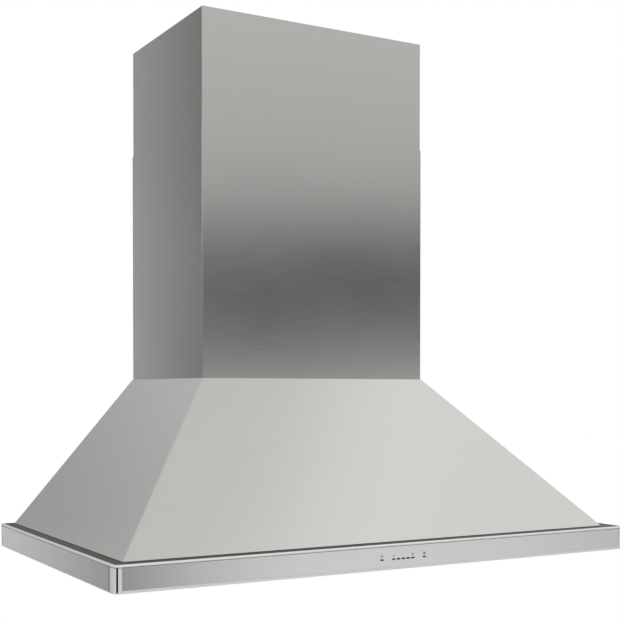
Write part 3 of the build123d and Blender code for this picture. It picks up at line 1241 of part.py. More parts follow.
# ---------------------------------------------------------------- screws
screw_groups = (
    ("blower_screws", bracket_screw_spots, DECK_TOP - DECK_SHEET - BLOWER_BRACKET_SHEET, DECK_TOP),
    ("cover_screws", cover_screw_spots, DECK_TOP - DECK_SHEET, CANOPY_TOP_Z + COVER_SHEET),
    ("panel_screws", panel_screw_spots, UNDERSIDE_Z - RAIL_SHEET, UNDERSIDE_TOP + TROUGH_SHEET),
)
for name, spots, seat_z, far_z in screw_groups:
    with BuildPart() as screws:
        with BuildSketch(Plane.XY.offset(seat_z)):
            with Locations(*spots):
                Circle(SCREW_HEAD_RADIUS)
        extrude(amount=-SCREW_HEAD_HEIGHT)
        head_rims = screws.edges().filter_by(GeomType.CIRCLE).group_by(Axis.Z)[0]
        chamfer(head_rims, length=SCREW_HEAD_HEIGHT / 2)
        with BuildSketch(Plane.XY.offset(seat_z)):
            with Locations(*spots):
                Circle(SCREW_RADIUS)
        extrude(amount=far_z + SCREW_END - seat_z)
    screws.part.label = name
    export_step(screws.part, f"parts/{name}.step")
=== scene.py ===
"""Finishes, small parts and studio for a wall-mounted chimney range hood. Lengths are in metres."""

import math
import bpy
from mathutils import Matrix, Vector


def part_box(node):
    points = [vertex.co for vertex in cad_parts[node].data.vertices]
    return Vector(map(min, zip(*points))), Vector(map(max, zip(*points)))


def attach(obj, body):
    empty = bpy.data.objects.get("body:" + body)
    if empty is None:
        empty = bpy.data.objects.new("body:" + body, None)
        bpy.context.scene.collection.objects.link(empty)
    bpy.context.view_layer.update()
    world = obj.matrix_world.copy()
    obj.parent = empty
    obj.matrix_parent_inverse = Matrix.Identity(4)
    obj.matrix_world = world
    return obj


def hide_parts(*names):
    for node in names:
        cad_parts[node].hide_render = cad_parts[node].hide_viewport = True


bl_info = {
    "name": "Chimney Range Hood",
    "version": (1, 0, 0),
    "blender": (4, 5, 0),
    "location": "View3D > Sidebar > Hood",
    "description": "Dresses a chimney range hood with its steel finishes, small parts and a plain studio",
    "category": "Object",
}

import bmesh
import bpy
from mathutils import Matrix, Vector

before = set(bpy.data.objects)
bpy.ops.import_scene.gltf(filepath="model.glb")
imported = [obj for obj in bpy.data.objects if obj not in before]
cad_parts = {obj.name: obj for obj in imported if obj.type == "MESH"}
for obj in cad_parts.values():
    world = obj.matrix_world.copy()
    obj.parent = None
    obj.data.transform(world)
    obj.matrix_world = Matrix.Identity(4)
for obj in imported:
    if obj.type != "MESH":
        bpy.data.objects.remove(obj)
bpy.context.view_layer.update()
MM = 0.001
# corners that lie this near to each other are one
MERGE = 0.001 * MM
# an edge that turns by more than this stays sharp
SHARP_DEG = 30
# most of a noise pattern lies between these values
NOISE_REACH = (0.3, 0.7)
# a face looks to a side where this much of its normal points there
FACING = 0.6
# a screw head's crown and shoulder, as shares of its radius, and how far its recess narrows
CROWN_SHARE = 0.72
SHOULDER_SHARE = 0.91
RECESS_TAPER = 0.6
# the steps up from the crown to the head's underside: how much wider, and its share of the height
HEAD_STEPS = ((SHOULDER_SHARE / CROWN_SHARE, 0.25), (1 / SHOULDER_SHARE, 0.35), (1, 0.4))
# how far the lamp chips stand off their board, and the relay board's far face off its seat
CHIP_HEIGHT = 0.85 * MM
BOARD_STANDOFF = 1.8 * MM
# the dark band that the duct cover reflects: how its lower edge leans about the middle of what it shows
BAND_LEAN = -0.04
BAND_MIDDLE_DEG = 28.7
# how much of the room's light each other dark flag takes away where it is darkest
LEFT_SHARE = 0.07
CORNER_SHARE = 0.97
FAR_CORNER_SHARE = 0.46
WALL_SHARE = 0.86
REAR_SHARE = 0.545
# where the lamps point, inside the hood
LAMP_AIM = Vector((0, -0.25, 0.3))
FRAME_PX = 620
SENSOR_MM = 36.0


# ---------------------------------------------------------------- colours and nodes
def hex_to_linear(code):
    """An sRGB hex colour as the linear red, green and blue that shaders take."""
    channels = [int(code[i : i + 2], 16) / 255 for i in (1, 3, 5)]
    return [c / 12.92 if c <= 0.04045 else ((c + 0.055) / 1.055) ** 2.4 for c in channels]


# A Mix node's sockets share their names, so they go by number: 0 is its factor, 2 and 3 are numbers,
# 4 and 5 vectors and 6 and 7 colours, and its outputs 0, 1 and 2 are a number, a vector and a colour.
def add_node(tree, kind, settings, inputs):
    """Adds a node with its settings. An input takes a value, or a link where it is given a socket."""
    node = tree.nodes.new(f"ShaderNode{kind}")
    for name, value in settings.items():
        setattr(node, name, value)
    for key, value in inputs.items():
        if isinstance(value, bpy.types.NodeSocket):
            tree.links.new(value, node.inputs[key])
        else:
            node.inputs[key].default_value = value
    return node


def new_material(name):
    """An empty node material, and its tree."""
    material = bpy.data.materials.new(name)
    material.use_nodes = True
    material.node_tree.nodes.clear()
    return material, material.node_tree


def close_material(tree, surface):
    """Ends a material with its shader, whose sockets surface fills by name."""
    shader = add_node(tree, "BsdfPrincipled", {}, surface)
    add_node(tree, "OutputMaterial", {}, {"Surface": shader.outputs[0]})


def grain(tree, along, across_mm, length_mm):
    """Noise drawn out along one axis, into lines across_mm wide and length_mm long."""
    place = add_node(tree, "TexCoord", {}, {})
    scale = [1 / (across_mm * MM)] * 3
    scale[along] = 1 / (length_mm * MM)
    mapping = add_node(tree, "Mapping", {}, {"Vector": place.outputs["Object"], "Scale": scale})
    noise = {"Vector": mapping.outputs[0], "Scale": 1.0, "Detail": 2.0, "Roughness": 0.6}
    return add_node(tree, "TexNoise", {}, noise).outputs["Fac"]


def clouds(tree, size_mm, detail=2.0, output="Fac"):
    """Soft patches of about size_mm, as a value or as a colour."""
    place = add_node(tree, "TexCoord", {}, {})
    noise = {"Vector": place.outputs["Object"], "Scale": 1 / (size_mm * MM), "Detail": detail}
    return add_node(tree, "TexNoise", {}, noise).outputs[output]


def vary(tree, pattern, middle, play, reach=NOISE_REACH):
    """A value that a pattern moves by play to either side of its middle."""
    inputs = {
        "Value": pattern,
        "From Min": reach[0],
        "From Max": reach[1],
        "To Min": middle - play,
        "To Max": middle + play,
    }
    return add_node(tree, "MapRange", {}, inputs).outputs["Result"]


def shaded(tree, pattern, code, darkest, lightest):
    """A finish's colour, which a pattern takes from a darker to a lighter share of what is written."""
    colour = hex_to_linear(code)
    ends = {6: (*[c * darkest for c in colour], 1), 7: (*[min(c * lightest, 1) for c in colour], 1)}
    return add_node(tree, "Mix", {"data_type": "RGBA"}, {0: pattern, **ends}).outputs[2]


def clouded(tree, colour, pattern, start, end):
    """A colour with a shade laid over it, which goes from start to end as a pattern goes from 0 to 1."""
    greys = {0: pattern, 6: (*[start] * 3, 1), 7: (*[end] * 3, 1)}
    shade = add_node(tree, "Mix", {"data_type": "RGBA"}, greys)
    multiply = {"data_type": "RGBA", "blend_type": "MULTIPLY"}
    return add_node(tree, "Mix", multiply, {0: 1.0, 6: colour, 7: shade.outputs[2]}).outputs[2]


# ---------------------------------------------------------------- materials
def brushed_stainless(name, code, roughness, grain_mm, end_shade=1.0):
    """Stainless steel sheet brushed in a belt sander: fine lines that run level round every panel, a soft
    reflection drawn out across them, and a faint drift of shade from sheet to sheet. The last argument,
    below 1, darkens the ends that face the front: painted shade of the narrow gap beside them."""
    material, tree = new_material(name)
    across, depthwise = (grain(tree, axis, grain_mm, length_mm=60) for axis in (0, 1))
    geometry = add_node(tree, "NewGeometry", {}, {})
    parts = add_node(tree, "SeparateXYZ", {}, {0: geometry.outputs["True Normal"]})
    sideways = add_node(tree, "Math", {"operation": "ABSOLUTE"}, {0: parts.outputs["X"]})
    on_side = add_node(tree, "Math", {"operation": "GREATER_THAN"}, {0: sideways.outputs[0], 1: FACING})
    level = {0: on_side.outputs[0], 2: across, 3: depthwise}
    lines = add_node(tree, "Mix", {"data_type": "FLOAT"}, level).outputs[0]
    drift = clouds(tree, size_mm=260)
    steel = shaded(tree, vary(tree, lines, 0.5, 0.5), code, 0.98, 1.02)
    steel = clouded(tree, steel, drift, 0.985, 1.01)
    # painted shade: the ends that face the front are darkened, standing in for the shade of the gap beside
    # them
    if end_shade < 1:
        ahead = add_node(tree, "Math", {"operation": "LESS_THAN"}, {0: parts.outputs["Y"], 1: -FACING})
        steel = clouded(tree, steel, ahead.outputs[0], 1.0, end_shade)
    dullness = {0: vary(tree, lines, roughness, 0.02), 1: vary(tree, drift, 0, 0.01)}
    rough = add_node(tree, "Math", {"operation": "ADD"}, dullness)
    bump = add_node(tree, "Bump", {}, {"Height": lines, "Strength": 0.02, "Distance": 0.05 * MM})
    close_material(
        tree,
        {
            "Base Color": steel,
            "Metallic": 1.0,
            "Roughness": rough.outputs[0],
            "Normal": bump.outputs[0],
        },
    )
    return material


def galvanised_steel():
    """Hot-dip galvanised sheet: grey zinc frozen in spangles, each facet a little lighter or duller."""
    material, tree = new_material("galvanised_steel")
    spangle_mm = 8.0
    place = add_node(tree, "TexCoord", {}, {})
    # the straight edges of the cells are bent a little
    warp = clouds(tree, size_mm=9, output="Color")
    bent = add_node(tree, "Mix", {"data_type": "VECTOR"}, {0: 0.004, 4: place.outputs["Object"], 5: warp})
    cells = {"Vector": bent.outputs[1], "Scale": 1 / (spangle_mm * MM), "Randomness": 1.0}
    spangles = add_node(tree, "TexVoronoi", {}, cells)
    facet = add_node(tree, "SeparateColor", {}, {0: spangles.outputs["Color"]})
    close_material(
        tree,
        {
            "Base Color": shaded(tree, facet.outputs[0], "#b4b8ba", 0.82, 1.0),
            "Metallic": 1.0,
            "Roughness": vary(tree, facet.outputs[1], 0.44, 0.06, reach=(0, 1)),
        },
    )
    return material


def satin_paint(name, code, roughness):
    """Powder coat: an even colour with the shallow dimples of melted powder."""
    material, tree = new_material(name)
    dust = clouds(tree, size_mm=40)
    dimples = clouds(tree, size_mm=1.2)
    bump = add_node(tree, "Bump", {}, {"Height": dimples, "Strength": 0.15, "Distance": 0.1 * MM})
    close_material(
        tree,
        {
            "Base Color": shaded(tree, dust, code, 0.9, 1.1),
            "Roughness": vary(tree, dust, roughness, 0.03),
            "Normal": bump.outputs[0],
        },
    )
    return material


def moulded_plastic(name, code, roughness):
    """Injection-moulded plastic with the fine spark-eroded grain of its mould."""
    material, tree = new_material(name)
    flow = clouds(tree, size_mm=30)
    sparks = clouds(tree, size_mm=0.5, detail=4.0)
    bump = add_node(tree, "Bump", {}, {"Height": sparks, "Strength": 0.2, "Distance": 0.08 * MM})
    close_material(
        tree,
        {
            "Base Color": shaded(tree, flow, code, 0.92, 1.08),
            "Roughness": vary(tree, sparks, roughness, 0.05),
            "IOR": 1.53,
            "Normal": bump.outputs[0],
        },
    )
    return material


def silver_lacquer(name, code, roughness):
    """Silver lacquer over pressed steel: aluminium flake in a matt binder, so it stays pale and even where
    the bare steel beside it mirrors a dark corner of the room. Narrow gaps are darkened in colour as painted
    shade."""
    material, tree = new_material(name)
    flakes = clouds(tree, size_mm=0.8, detail=4.0)
    lacquer = shaded(tree, vary(tree, flakes, 0.5, 0.5), code, 0.95, 1.0)
    lacquer = clouded(tree, lacquer, clouds(tree, size_mm=60), 0.97, 1.0)
    # painted shade: ambient occlusion darkens the colour down to 0.3 of itself in narrow gaps
    gap_shade_mm = 5.0
    gap_shade = add_node(tree, "AmbientOcclusion", {"samples": 8}, {"Distance": gap_shade_mm * MM})
    openness = vary(tree, gap_shade.outputs["AO"], 0.5, 0.5, reach=(0.25, 0.6))
    close_material(
        tree,
        {
            "Base Color": clouded(tree, lacquer, openness, 0.3, 1.0),
            "Metallic": 0.3,
            "Roughness": vary(tree, flakes, roughness, 0.04),
        },
    )
    return material


def turned_metal(name, code, roughness):
    """Turned, drawn or plated metal: even, with very fine rings left by the tool."""
    material, tree = new_material(name)
    rings = grain(tree, 2, across_mm=0.4, length_mm=30)
    close_material(
        tree,
        {
            "Base Color": shaded(tree, vary(tree, rings, 0.5, 0.5), code, 0.93, 1.0),
            "Metallic": 1.0,
            "Roughness": vary(tree, rings, roughness, 0.03),
        },
    )
    return material


def frosted_glass():
    """Sand-blasted lamp glass: milky, with a fine tooth that scatters the light behind it."""
    material, tree = new_material("frosted_glass")
    tooth = clouds(tree, size_mm=0.6, detail=4.0)
    bump = add_node(tree, "Bump", {}, {"Height": tooth, "Strength": 0.3, "Distance": 0.1 * MM})
    milk = {0: tooth, 6: (*hex_to_linear("#ecedea"), 1), 7: (*hex_to_linear("#fafaf8"), 1)}
    close_material(
        tree,
        {
            "Base Color": add_node(tree, "Mix", {"data_type": "RGBA"}, milk).outputs[2],
            "Roughness": vary(tree, tooth, 0.475, 0.075),
            "Transmission Weight": 0.2,
            "Normal": bump.outputs[0],
        },
    )
    return material


def circuit_board(name, parts_code=None, parts_from=0.0):
    """Glass-fibre board under green solder mask, with paler copper tracks beneath it. What stands on it, in
    front of parts_from, is moulded in a colour of its own."""
    material, tree = new_material(name)
    track_pitch_mm = 8
    place = add_node(tree, "TexCoord", {}, {})
    tracks = add_node(
        tree,
        "TexBrick",
        {"offset": 0.37, "squash": 1.6, "squash_frequency": 3},
        {
            "Vector": place.outputs["Object"],
            "Color1": (*hex_to_linear("#1d5f36"), 1),
            "Color2": (*hex_to_linear("#226b3d"), 1),
            "Mortar": (*hex_to_linear("#2f8a50"), 1),
            "Scale": 1 / (track_pitch_mm * MM),
            "Mortar Size": 0.03,
        },
    )
    colour = tracks.outputs["Color"]
    if parts_code:
        places = add_node(tree, "SeparateXYZ", {}, {0: place.outputs["Object"]})
        in_front = {0: places.outputs["Y"], 1: parts_from}
        standing = add_node(tree, "Math", {"operation": "LESS_THAN"}, in_front)
        both = {0: standing.outputs[0], 6: colour, 7: (*hex_to_linear(parts_code), 1)}
        colour = add_node(tree, "Mix", {"data_type": "RGBA"}, both).outputs[2]
    close_material(tree, {"Base Color": colour, "Roughness": 0.35, "IOR": 1.5})
    return material


def lamp_board(chips_below):
    """White solder mask, which throws the light forward, and lamp chips under yellow phosphor."""
    material, tree = new_material("white_lamp_board")
    place = add_node(tree, "TexCoord", {}, {})
    places = add_node(tree, "SeparateXYZ", {}, {0: place.outputs["Object"]})
    chips = add_node(tree, "Math", {"operation": "LESS_THAN"}, {0: places.outputs["Z"], 1: chips_below})
    yellows = {6: (*hex_to_linear("#d9c043"), 1), 7: (*hex_to_linear("#e6d56a"), 1)}
    phosphor = add_node(tree, "Mix", {"data_type": "RGBA"}, {0: clouds(tree, size_mm=2), **yellows})
    both = {0: chips.outputs[0], 6: (*hex_to_linear("#e9e9e6"), 1), 7: phosphor.outputs[2]}
    colour = add_node(tree, "Mix", {"data_type": "RGBA"}, both).outputs[2]
    close_material(tree, {"Base Color": colour, "Roughness": 0.4, "IOR": 1.5})
    return material


def glowing_guide(name, resin, glow, strength):
    """A tinted polycarbonate light guide with a lamp behind it: deep in colour, and a little cloudy in its
    glow."""
    material, tree = new_material(name)
    close_material(
        tree,
        {
            "Base Color": (*hex_to_linear(resin), 1),
            "Roughness": 0.3,
            "IOR": 1.58,
            "Emission Color": (*hex_to_linear(glow), 1),
            "Emission Strength": vary(tree, clouds(tree, size_mm=1.5), strength, strength * 0.15),
        },
    )
    return material


# ---------------------------------------------------------------- pieces
def dress(names, material):
    """Gives CAD nodes a finish. Their meshes stay as they are."""
    for name in names:
        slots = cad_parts[name].data.materials
        slots.clear()
        slots.append(material)


def add_piece(name, shape, material, body, replaced=()):
    """Turns a bmesh in the shared frame into a piece that rides on a body."""
    bmesh.ops.recalc_face_normals(shape, faces=shape.faces)
    mesh = bpy.data.meshes.new(name)
    shape.to_mesh(mesh)
    shape.free()
    mesh.shade_smooth()
    mesh.set_sharp_from_angle(angle=math.radians(SHARP_DEG))
    mesh.materials.append(material)
    piece = bpy.data.objects.new(name, mesh)
    bpy.context.scene.collection.objects.link(piece)
    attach(piece, body)
    if replaced:
        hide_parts(*replaced)


def add_block(shape, centre, size, edge=0.0):
    """A box in a bmesh, with its edges rounded where a radius is given."""
    verts = bmesh.ops.create_cube(shape, size=1.0)["verts"]
    bmesh.ops.scale(shape, vec=size, verts=verts)
    bmesh.ops.translate(shape, vec=centre, verts=verts)
    if edge:
        bmesh.ops.bevel(
            shape,
            geom=list({e for v in verts for e in v.link_edges}),
            offset=edge,
            offset_type="OFFSET",
            affect="EDGES",
            segments=2,
            profile=0.5,
            material=-1,
        )


def islands(name):
    """The boxes of a CAD node's separate solids, read from a merged copy of its mesh."""
    shape = bmesh.new()
    shape.from_mesh(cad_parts[name].data)
    bmesh.ops.remove_doubles(shape, verts=shape.verts, dist=MERGE)
    left = set(shape.verts)
    boxes = []
    while left:
        group = [left.pop()]
        for vert in group:
            near = {e.other_vert(vert) for e in vert.link_edges} & left
            left -= near
            group.extend(near)
        low = Vector(min(v.co[i] for v in group) for i in range(3))
        high = Vector(max(v.co[i] for v in group) for i in range(3))
        boxes.append((low, high))
    shape.free()
    return sorted(boxes, key=lambda box: tuple(box[0]))


def widen(shape, loop, centre, scale, move):
    """Extrudes a loop of edges, scales it about centre and moves it along Z. Returns the new loop."""
    made = bmesh.ops.extrude_edge_only(shape, edges=loop)["geom"]
    verts = [item for item in made if isinstance(item, bmesh.types.BMVert)]
    about = Matrix.Translation(-centre)
    bmesh.ops.scale(shape, vec=(scale, scale, 1), space=about, verts=verts)
    bmesh.ops.translate(shape, vec=(0, 0, move), verts=verts)
    rim = set(verts)
    return [item for item in made if isinstance(item, bmesh.types.BMEdge) and set(item.verts) <= rim]


def add_screw(shape, low, high, sizes):
    """A pan-head screw with a cross recess, driven upwards: its head is the lower end of the box."""
    centre = Vector(((low.x + high.x) / 2, (low.y + high.y) / 2, low.z))
    head_radius = (high.x - low.x) / 2
    crown = head_radius * CROWN_SHARE

    # the crown is a grid whose middle cells make the cross, and whose border is pulled out to a circle
    cells = 5
    cell = 2 / cells
    lines = [-1, -sizes.recess_reach / crown, -sizes.recess_slot / crown]
    lines += [-value for value in reversed(lines)]
    grid = bmesh.ops.create_grid(shape, x_segments=cells, y_segments=cells, size=1)["verts"]
    spots = {face: face.calc_center_median() for vert in grid for face in vert.link_faces}
    recess = [
        face
        for face, spot in spots.items()
        if min(abs(spot.x), abs(spot.y)) < cell / 2 and spot.length < cell * 1.5
    ]
    for vert in grid:
        steps = [round((value + 1) / cell) for value in vert.co.xy]
        on_border = {0, cells} & set(steps)
        square = Vector((lines[steps[0]], lines[steps[1]], 0))
        flat = vert.co.xy.normalized().to_3d() if on_border else square
        vert.co = centre + flat * crown + Vector((0, 0, sizes.head_dome if on_border else 0))
    loop = [edge for edge in {e for v in grid for e in v.link_edges} if edge.is_boundary]

    sunk = bmesh.ops.extrude_face_region(shape, geom=recess)["geom"]
    bmesh.ops.delete(shape, geom=recess, context="FACES")
    sunk = [item for item in sunk if isinstance(item, bmesh.types.BMVert)]
    bmesh.ops.translate(shape, vec=(0, 0, sizes.recess_depth), verts=sunk)
    about = Matrix.Translation(-centre)
    bmesh.ops.scale(shape, vec=(RECESS_TAPER, RECESS_TAPER, 1), space=about, verts=sunk)

    # the rest of the head, its flat underside, and the thread
    rise = sizes.head_height - sizes.head_dome
    for wider, share in HEAD_STEPS:
        loop = widen(shape, loop, centre, wider, rise * share)
    loop = widen(shape, loop, centre, sizes.shank_radius / head_radius, 0)
    thread = high.z - low.z - sizes.head_height
    turns = max(round(thread / sizes.thread_pitch), 1)
    for _ in range(turns):
        loop = widen(shape, loop, centre, sizes.thread_root, thread / turns / 2)
        loop = widen(shape, loop, centre, 1 / sizes.thread_root, thread / turns / 2)
    bmesh.ops.edgeloop_fill(shape, edges=loop)


def side_names(stem):
    """The left, centre and right nodes of a stem."""
    return [f"{stem}_{side}" for side in ("left", "centre", "right")]


# ---------------------------------------------------------------- properties
class HoodFinish(bpy.types.PropertyGroup):
    sheet_colour: bpy.props.StringProperty(
        name="Sheet colour", description="sRGB hex colour of the canopy and duct cover", default="#cac9c6"
    )
    fascia_colour: bpy.props.StringProperty(
        name="Fascia colour", description="sRGB hex colour of the rim's brushed facings", default="#ced0cf"
    )
    trim_colour: bpy.props.StringProperty(
        name="Trim colour", description="sRGB hex colour of the rim's lacquered edges", default="#dededc"
    )
    ledge_colour: bpy.props.StringProperty(
        name="Ledge colour", description="sRGB hex colour of the dark ledge", default="#2e2e27"
    )
    sheet_roughness: bpy.props.FloatProperty(
        name="Sheet roughness",
        description="How dull the brushed canopy and duct cover are",
        default=0.17,
        min=0,
        max=1,
        subtype="FACTOR",
    )
    fascia_roughness: bpy.props.FloatProperty(
        name="Fascia roughness",
        description="How dull the rim's facings are",
        default=0.22,
        min=0,
        max=1,
        subtype="FACTOR",
    )
    grain_mm: bpy.props.FloatProperty(
        name="Grain (mm)",
        description="Width of a brushing line in millimetres",
        default=0.6,
        min=0.1,
        max=5,
    )


class HoodControls(bpy.types.PropertyGroup):
    glow_colour: bpy.props.StringProperty(
        name="Glow colour", description="sRGB hex colour of a lit indicator light", default="#2c1cb4"
    )
    light_width: bpy.props.FloatProperty(
        name="Light width", description="Width of one indicator light", default=6.0 * MM, unit="LENGTH"
    )
    light_pitch: bpy.props.FloatProperty(
        name="Light pitch", description="Spacing of the row of lights", default=8.6 * MM, unit="LENGTH"
    )
    light_edge: bpy.props.FloatProperty(
        name="Light edge", description="Rounding of a light's edges", default=0.25 * MM, unit="LENGTH"
    )
    mark_height: bpy.props.FloatProperty(
        name="Mark height",
        description="Height of the printed marks over the lights",
        default=4.4 * MM,
        unit="LENGTH",
    )
    mark_rise: bpy.props.FloatProperty(
        name="Mark rise",
        description="Distance from a light's middle up to its mark",
        default=5.4 * MM,
        unit="LENGTH",
    )
    ink_film: bpy.props.FloatProperty(
        name="Ink film", description="Thickness of the printed ink", default=0.04 * MM, unit="LENGTH"
    )


class HoodScrews(bpy.types.PropertyGroup):
    head_height: bpy.props.FloatProperty(
        name="Head height", description="Height of a screw's head", default=2.2 * MM, unit="LENGTH"
    )
    head_dome: bpy.props.FloatProperty(
        name="Head dome", description="How far a head's crown is domed", default=0.25 * MM, unit="LENGTH"
    )
    recess_reach: bpy.props.FloatProperty(
        name="Recess reach",
        description="Length of an arm of the cross recess",
        default=1.9 * MM,
        unit="LENGTH",
    )
    recess_slot: bpy.props.FloatProperty(
        name="Recess slot", description="Half the width of an arm", default=0.4 * MM, unit="LENGTH"
    )
    recess_depth: bpy.props.FloatProperty(
        name="Recess depth", description="Depth of the cross recess", default=1.3 * MM, unit="LENGTH"
    )
    shank_radius: bpy.props.FloatProperty(
        name="Shank radius", description="Outer radius of the thread", default=2.0 * MM, unit="LENGTH"
    )
    thread_pitch: bpy.props.FloatProperty(
        name="Thread pitch", description="Pitch of the thread", default=0.7 * MM, unit="LENGTH"
    )
    thread_root: bpy.props.FloatProperty(
        name="Thread root",
        description="Root radius as a share of the outer radius",
        default=0.84,
        min=0,
        max=1,
    )


class HoodRivets(bpy.types.PropertyGroup):
    dome_radius: bpy.props.FloatProperty(
        name="Dome radius", description="Radius of a filter rivet's dome", default=1.8 * MM, unit="LENGTH"
    )
    dome_height: bpy.props.FloatProperty(
        name="Dome height",
        description="How far a dome stands off the frame",
        default=0.7 * MM,
        unit="LENGTH",
    )
    channel_width: bpy.props.FloatProperty(
        name="Channel width", description="Width of one baffle channel", default=24.0 * MM, unit="LENGTH"
    )
    channel_pitch: bpy.props.FloatProperty(
        name="Channel pitch", description="Spacing of the lower channels", default=36.0 * MM, unit="LENGTH"
    )
    end_inset: bpy.props.FloatProperty(
        name="End inset",
        description="Distance from a channel's end to its rivet",
        default=3.8 * MM,
        unit="LENGTH",
    )


class HoodWheel(bpy.types.PropertyGroup):
    blade_count: bpy.props.IntProperty(
        name="Blades", description="Number of blades round the wheel", default=36
    )
    blade_sheet: bpy.props.FloatProperty(
        name="Blade sheet", description="Thickness of a blade", default=0.9 * MM, unit="LENGTH"
    )
    blade_camber: bpy.props.FloatProperty(
        name="Blade camber",
        description="How far a blade's middle is curved",
        default=1.4 * MM,
        unit="LENGTH",
    )
    blade_lean: bpy.props.FloatProperty(
        name="Blade lean",
        description="How far a blade's tip leans forward",
        default=7.0 * MM,
        unit="LENGTH",
    )
    inlet_radius: bpy.props.FloatProperty(
        name="Inlet radius",
        description="Radius that the blades leave open",
        default=64.0 * MM,
        unit="LENGTH",
    )
    end_cover: bpy.props.FloatProperty(
        name="End cover",
        description="How far a ring covers the ends of the blades",
        default=0.6 * MM,
        unit="LENGTH",
    )


class HoodStudio(bpy.types.PropertyGroup):
    eye: bpy.props.FloatVectorProperty(
        name="Eye", description="Where the camera stands", default=(-0.9701, -1.9836, 0.2637), subtype="XYZ"
    )
    heading: bpy.props.FloatProperty(
        name="Heading",
        description="How far the camera turns to the right",
        default=math.radians(29.66),
        subtype="ANGLE",
    )
    pitch: bpy.props.FloatProperty(
        name="Pitch",
        description="How far the camera looks down",
        default=math.radians(1.06),
        subtype="ANGLE",
    )
    focal_px: bpy.props.FloatProperty(
        name="Focal length (px)",
        description="Focal length in pixels of the 620 pixel frame",
        default=1155.83,
    )
    horizon_px: bpy.props.FloatProperty(
        name="Optical centre (px)",
        description="Row of the optical centre in the 620 pixel frame",
        default=413.51,
    )
    floor_drop: bpy.props.FloatProperty(
        name="Floor drop",
        description="How far the floor lies under the hood's edge",
        default=3.2,
        unit="LENGTH",
    )
    floor_radius: bpy.props.FloatProperty(
        name="Floor radius", description="Radius of the round floor", default=4.0, unit="LENGTH"
    )
    floor_bleach: bpy.props.FloatProperty(
        name="Floor bleach",
        description="How far the floor is lifted to white for the eye",
        default=0.6,
        min=0,
        max=1,
        subtype="FACTOR",
    )
    room_light: bpy.props.FloatProperty(
        name="Room light", description="Even light that matt surfaces receive", default=0.6, min=0
    )
    key_watts: bpy.props.FloatProperty(
        name="Key light", description="Power of the soft key light", default=55.0, unit="POWER"
    )
    fill_watts: bpy.props.FloatProperty(
        name="Fill light", description="Power of the soft fill light", default=20.0, unit="POWER"
    )


# ---------------------------------------------------------------- operators
class HOOD_OT_sheet_metal(bpy.types.Operator):
    """Finish the canopy and the two duct covers in brushed stainless steel"""

    bl_idname = "hood.sheet_metal"
    bl_label = "Canopy and duct covers"

    def execute(self, context):
        finish = context.scene.hood_finish
        steel = brushed_stainless(
            "brushed_stainless_sheet", finish.sheet_colour, finish.sheet_roughness, finish.grain_mm
        )
        dress(["canopy_shell", "lower_cover", "upper_cover"], steel)
        return {"FINISHED"}


class HOOD_OT_rim(bpy.types.Operator):
    """Finish the folded rim, its facings and the dark ledge inside its lip"""

    bl_idname = "hood.rim"
    bl_label = "Rim and facings"

    def execute(self, context):
        finish = context.scene.hood_finish
        lacquer = silver_lacquer("silver_trim_painted_gap_shade", finish.trim_colour, 0.45)
        dress(["rim_frame", "front_bezel", "corner_cap_left", "corner_cap_right"], lacquer)
        sizes = (finish.fascia_colour, finish.fascia_roughness, finish.grain_mm)
        dress(["front_fascia"], brushed_stainless("brushed_stainless_strip", *sizes))
        side_strip = brushed_stainless("brushed_side_strip_painted_end_shade", *sizes, end_shade=0.4)
        dress(["side_fascia_left", "side_fascia_right"], side_strip)
        # the ledge is given a near-black satin colour, which makes the dark band between the lip and the
        # canopy
        dress(["rim_ledge"], satin_paint("near_black_ledge_satin", finish.ledge_colour, 0.54))
        return {"FINISHED"}


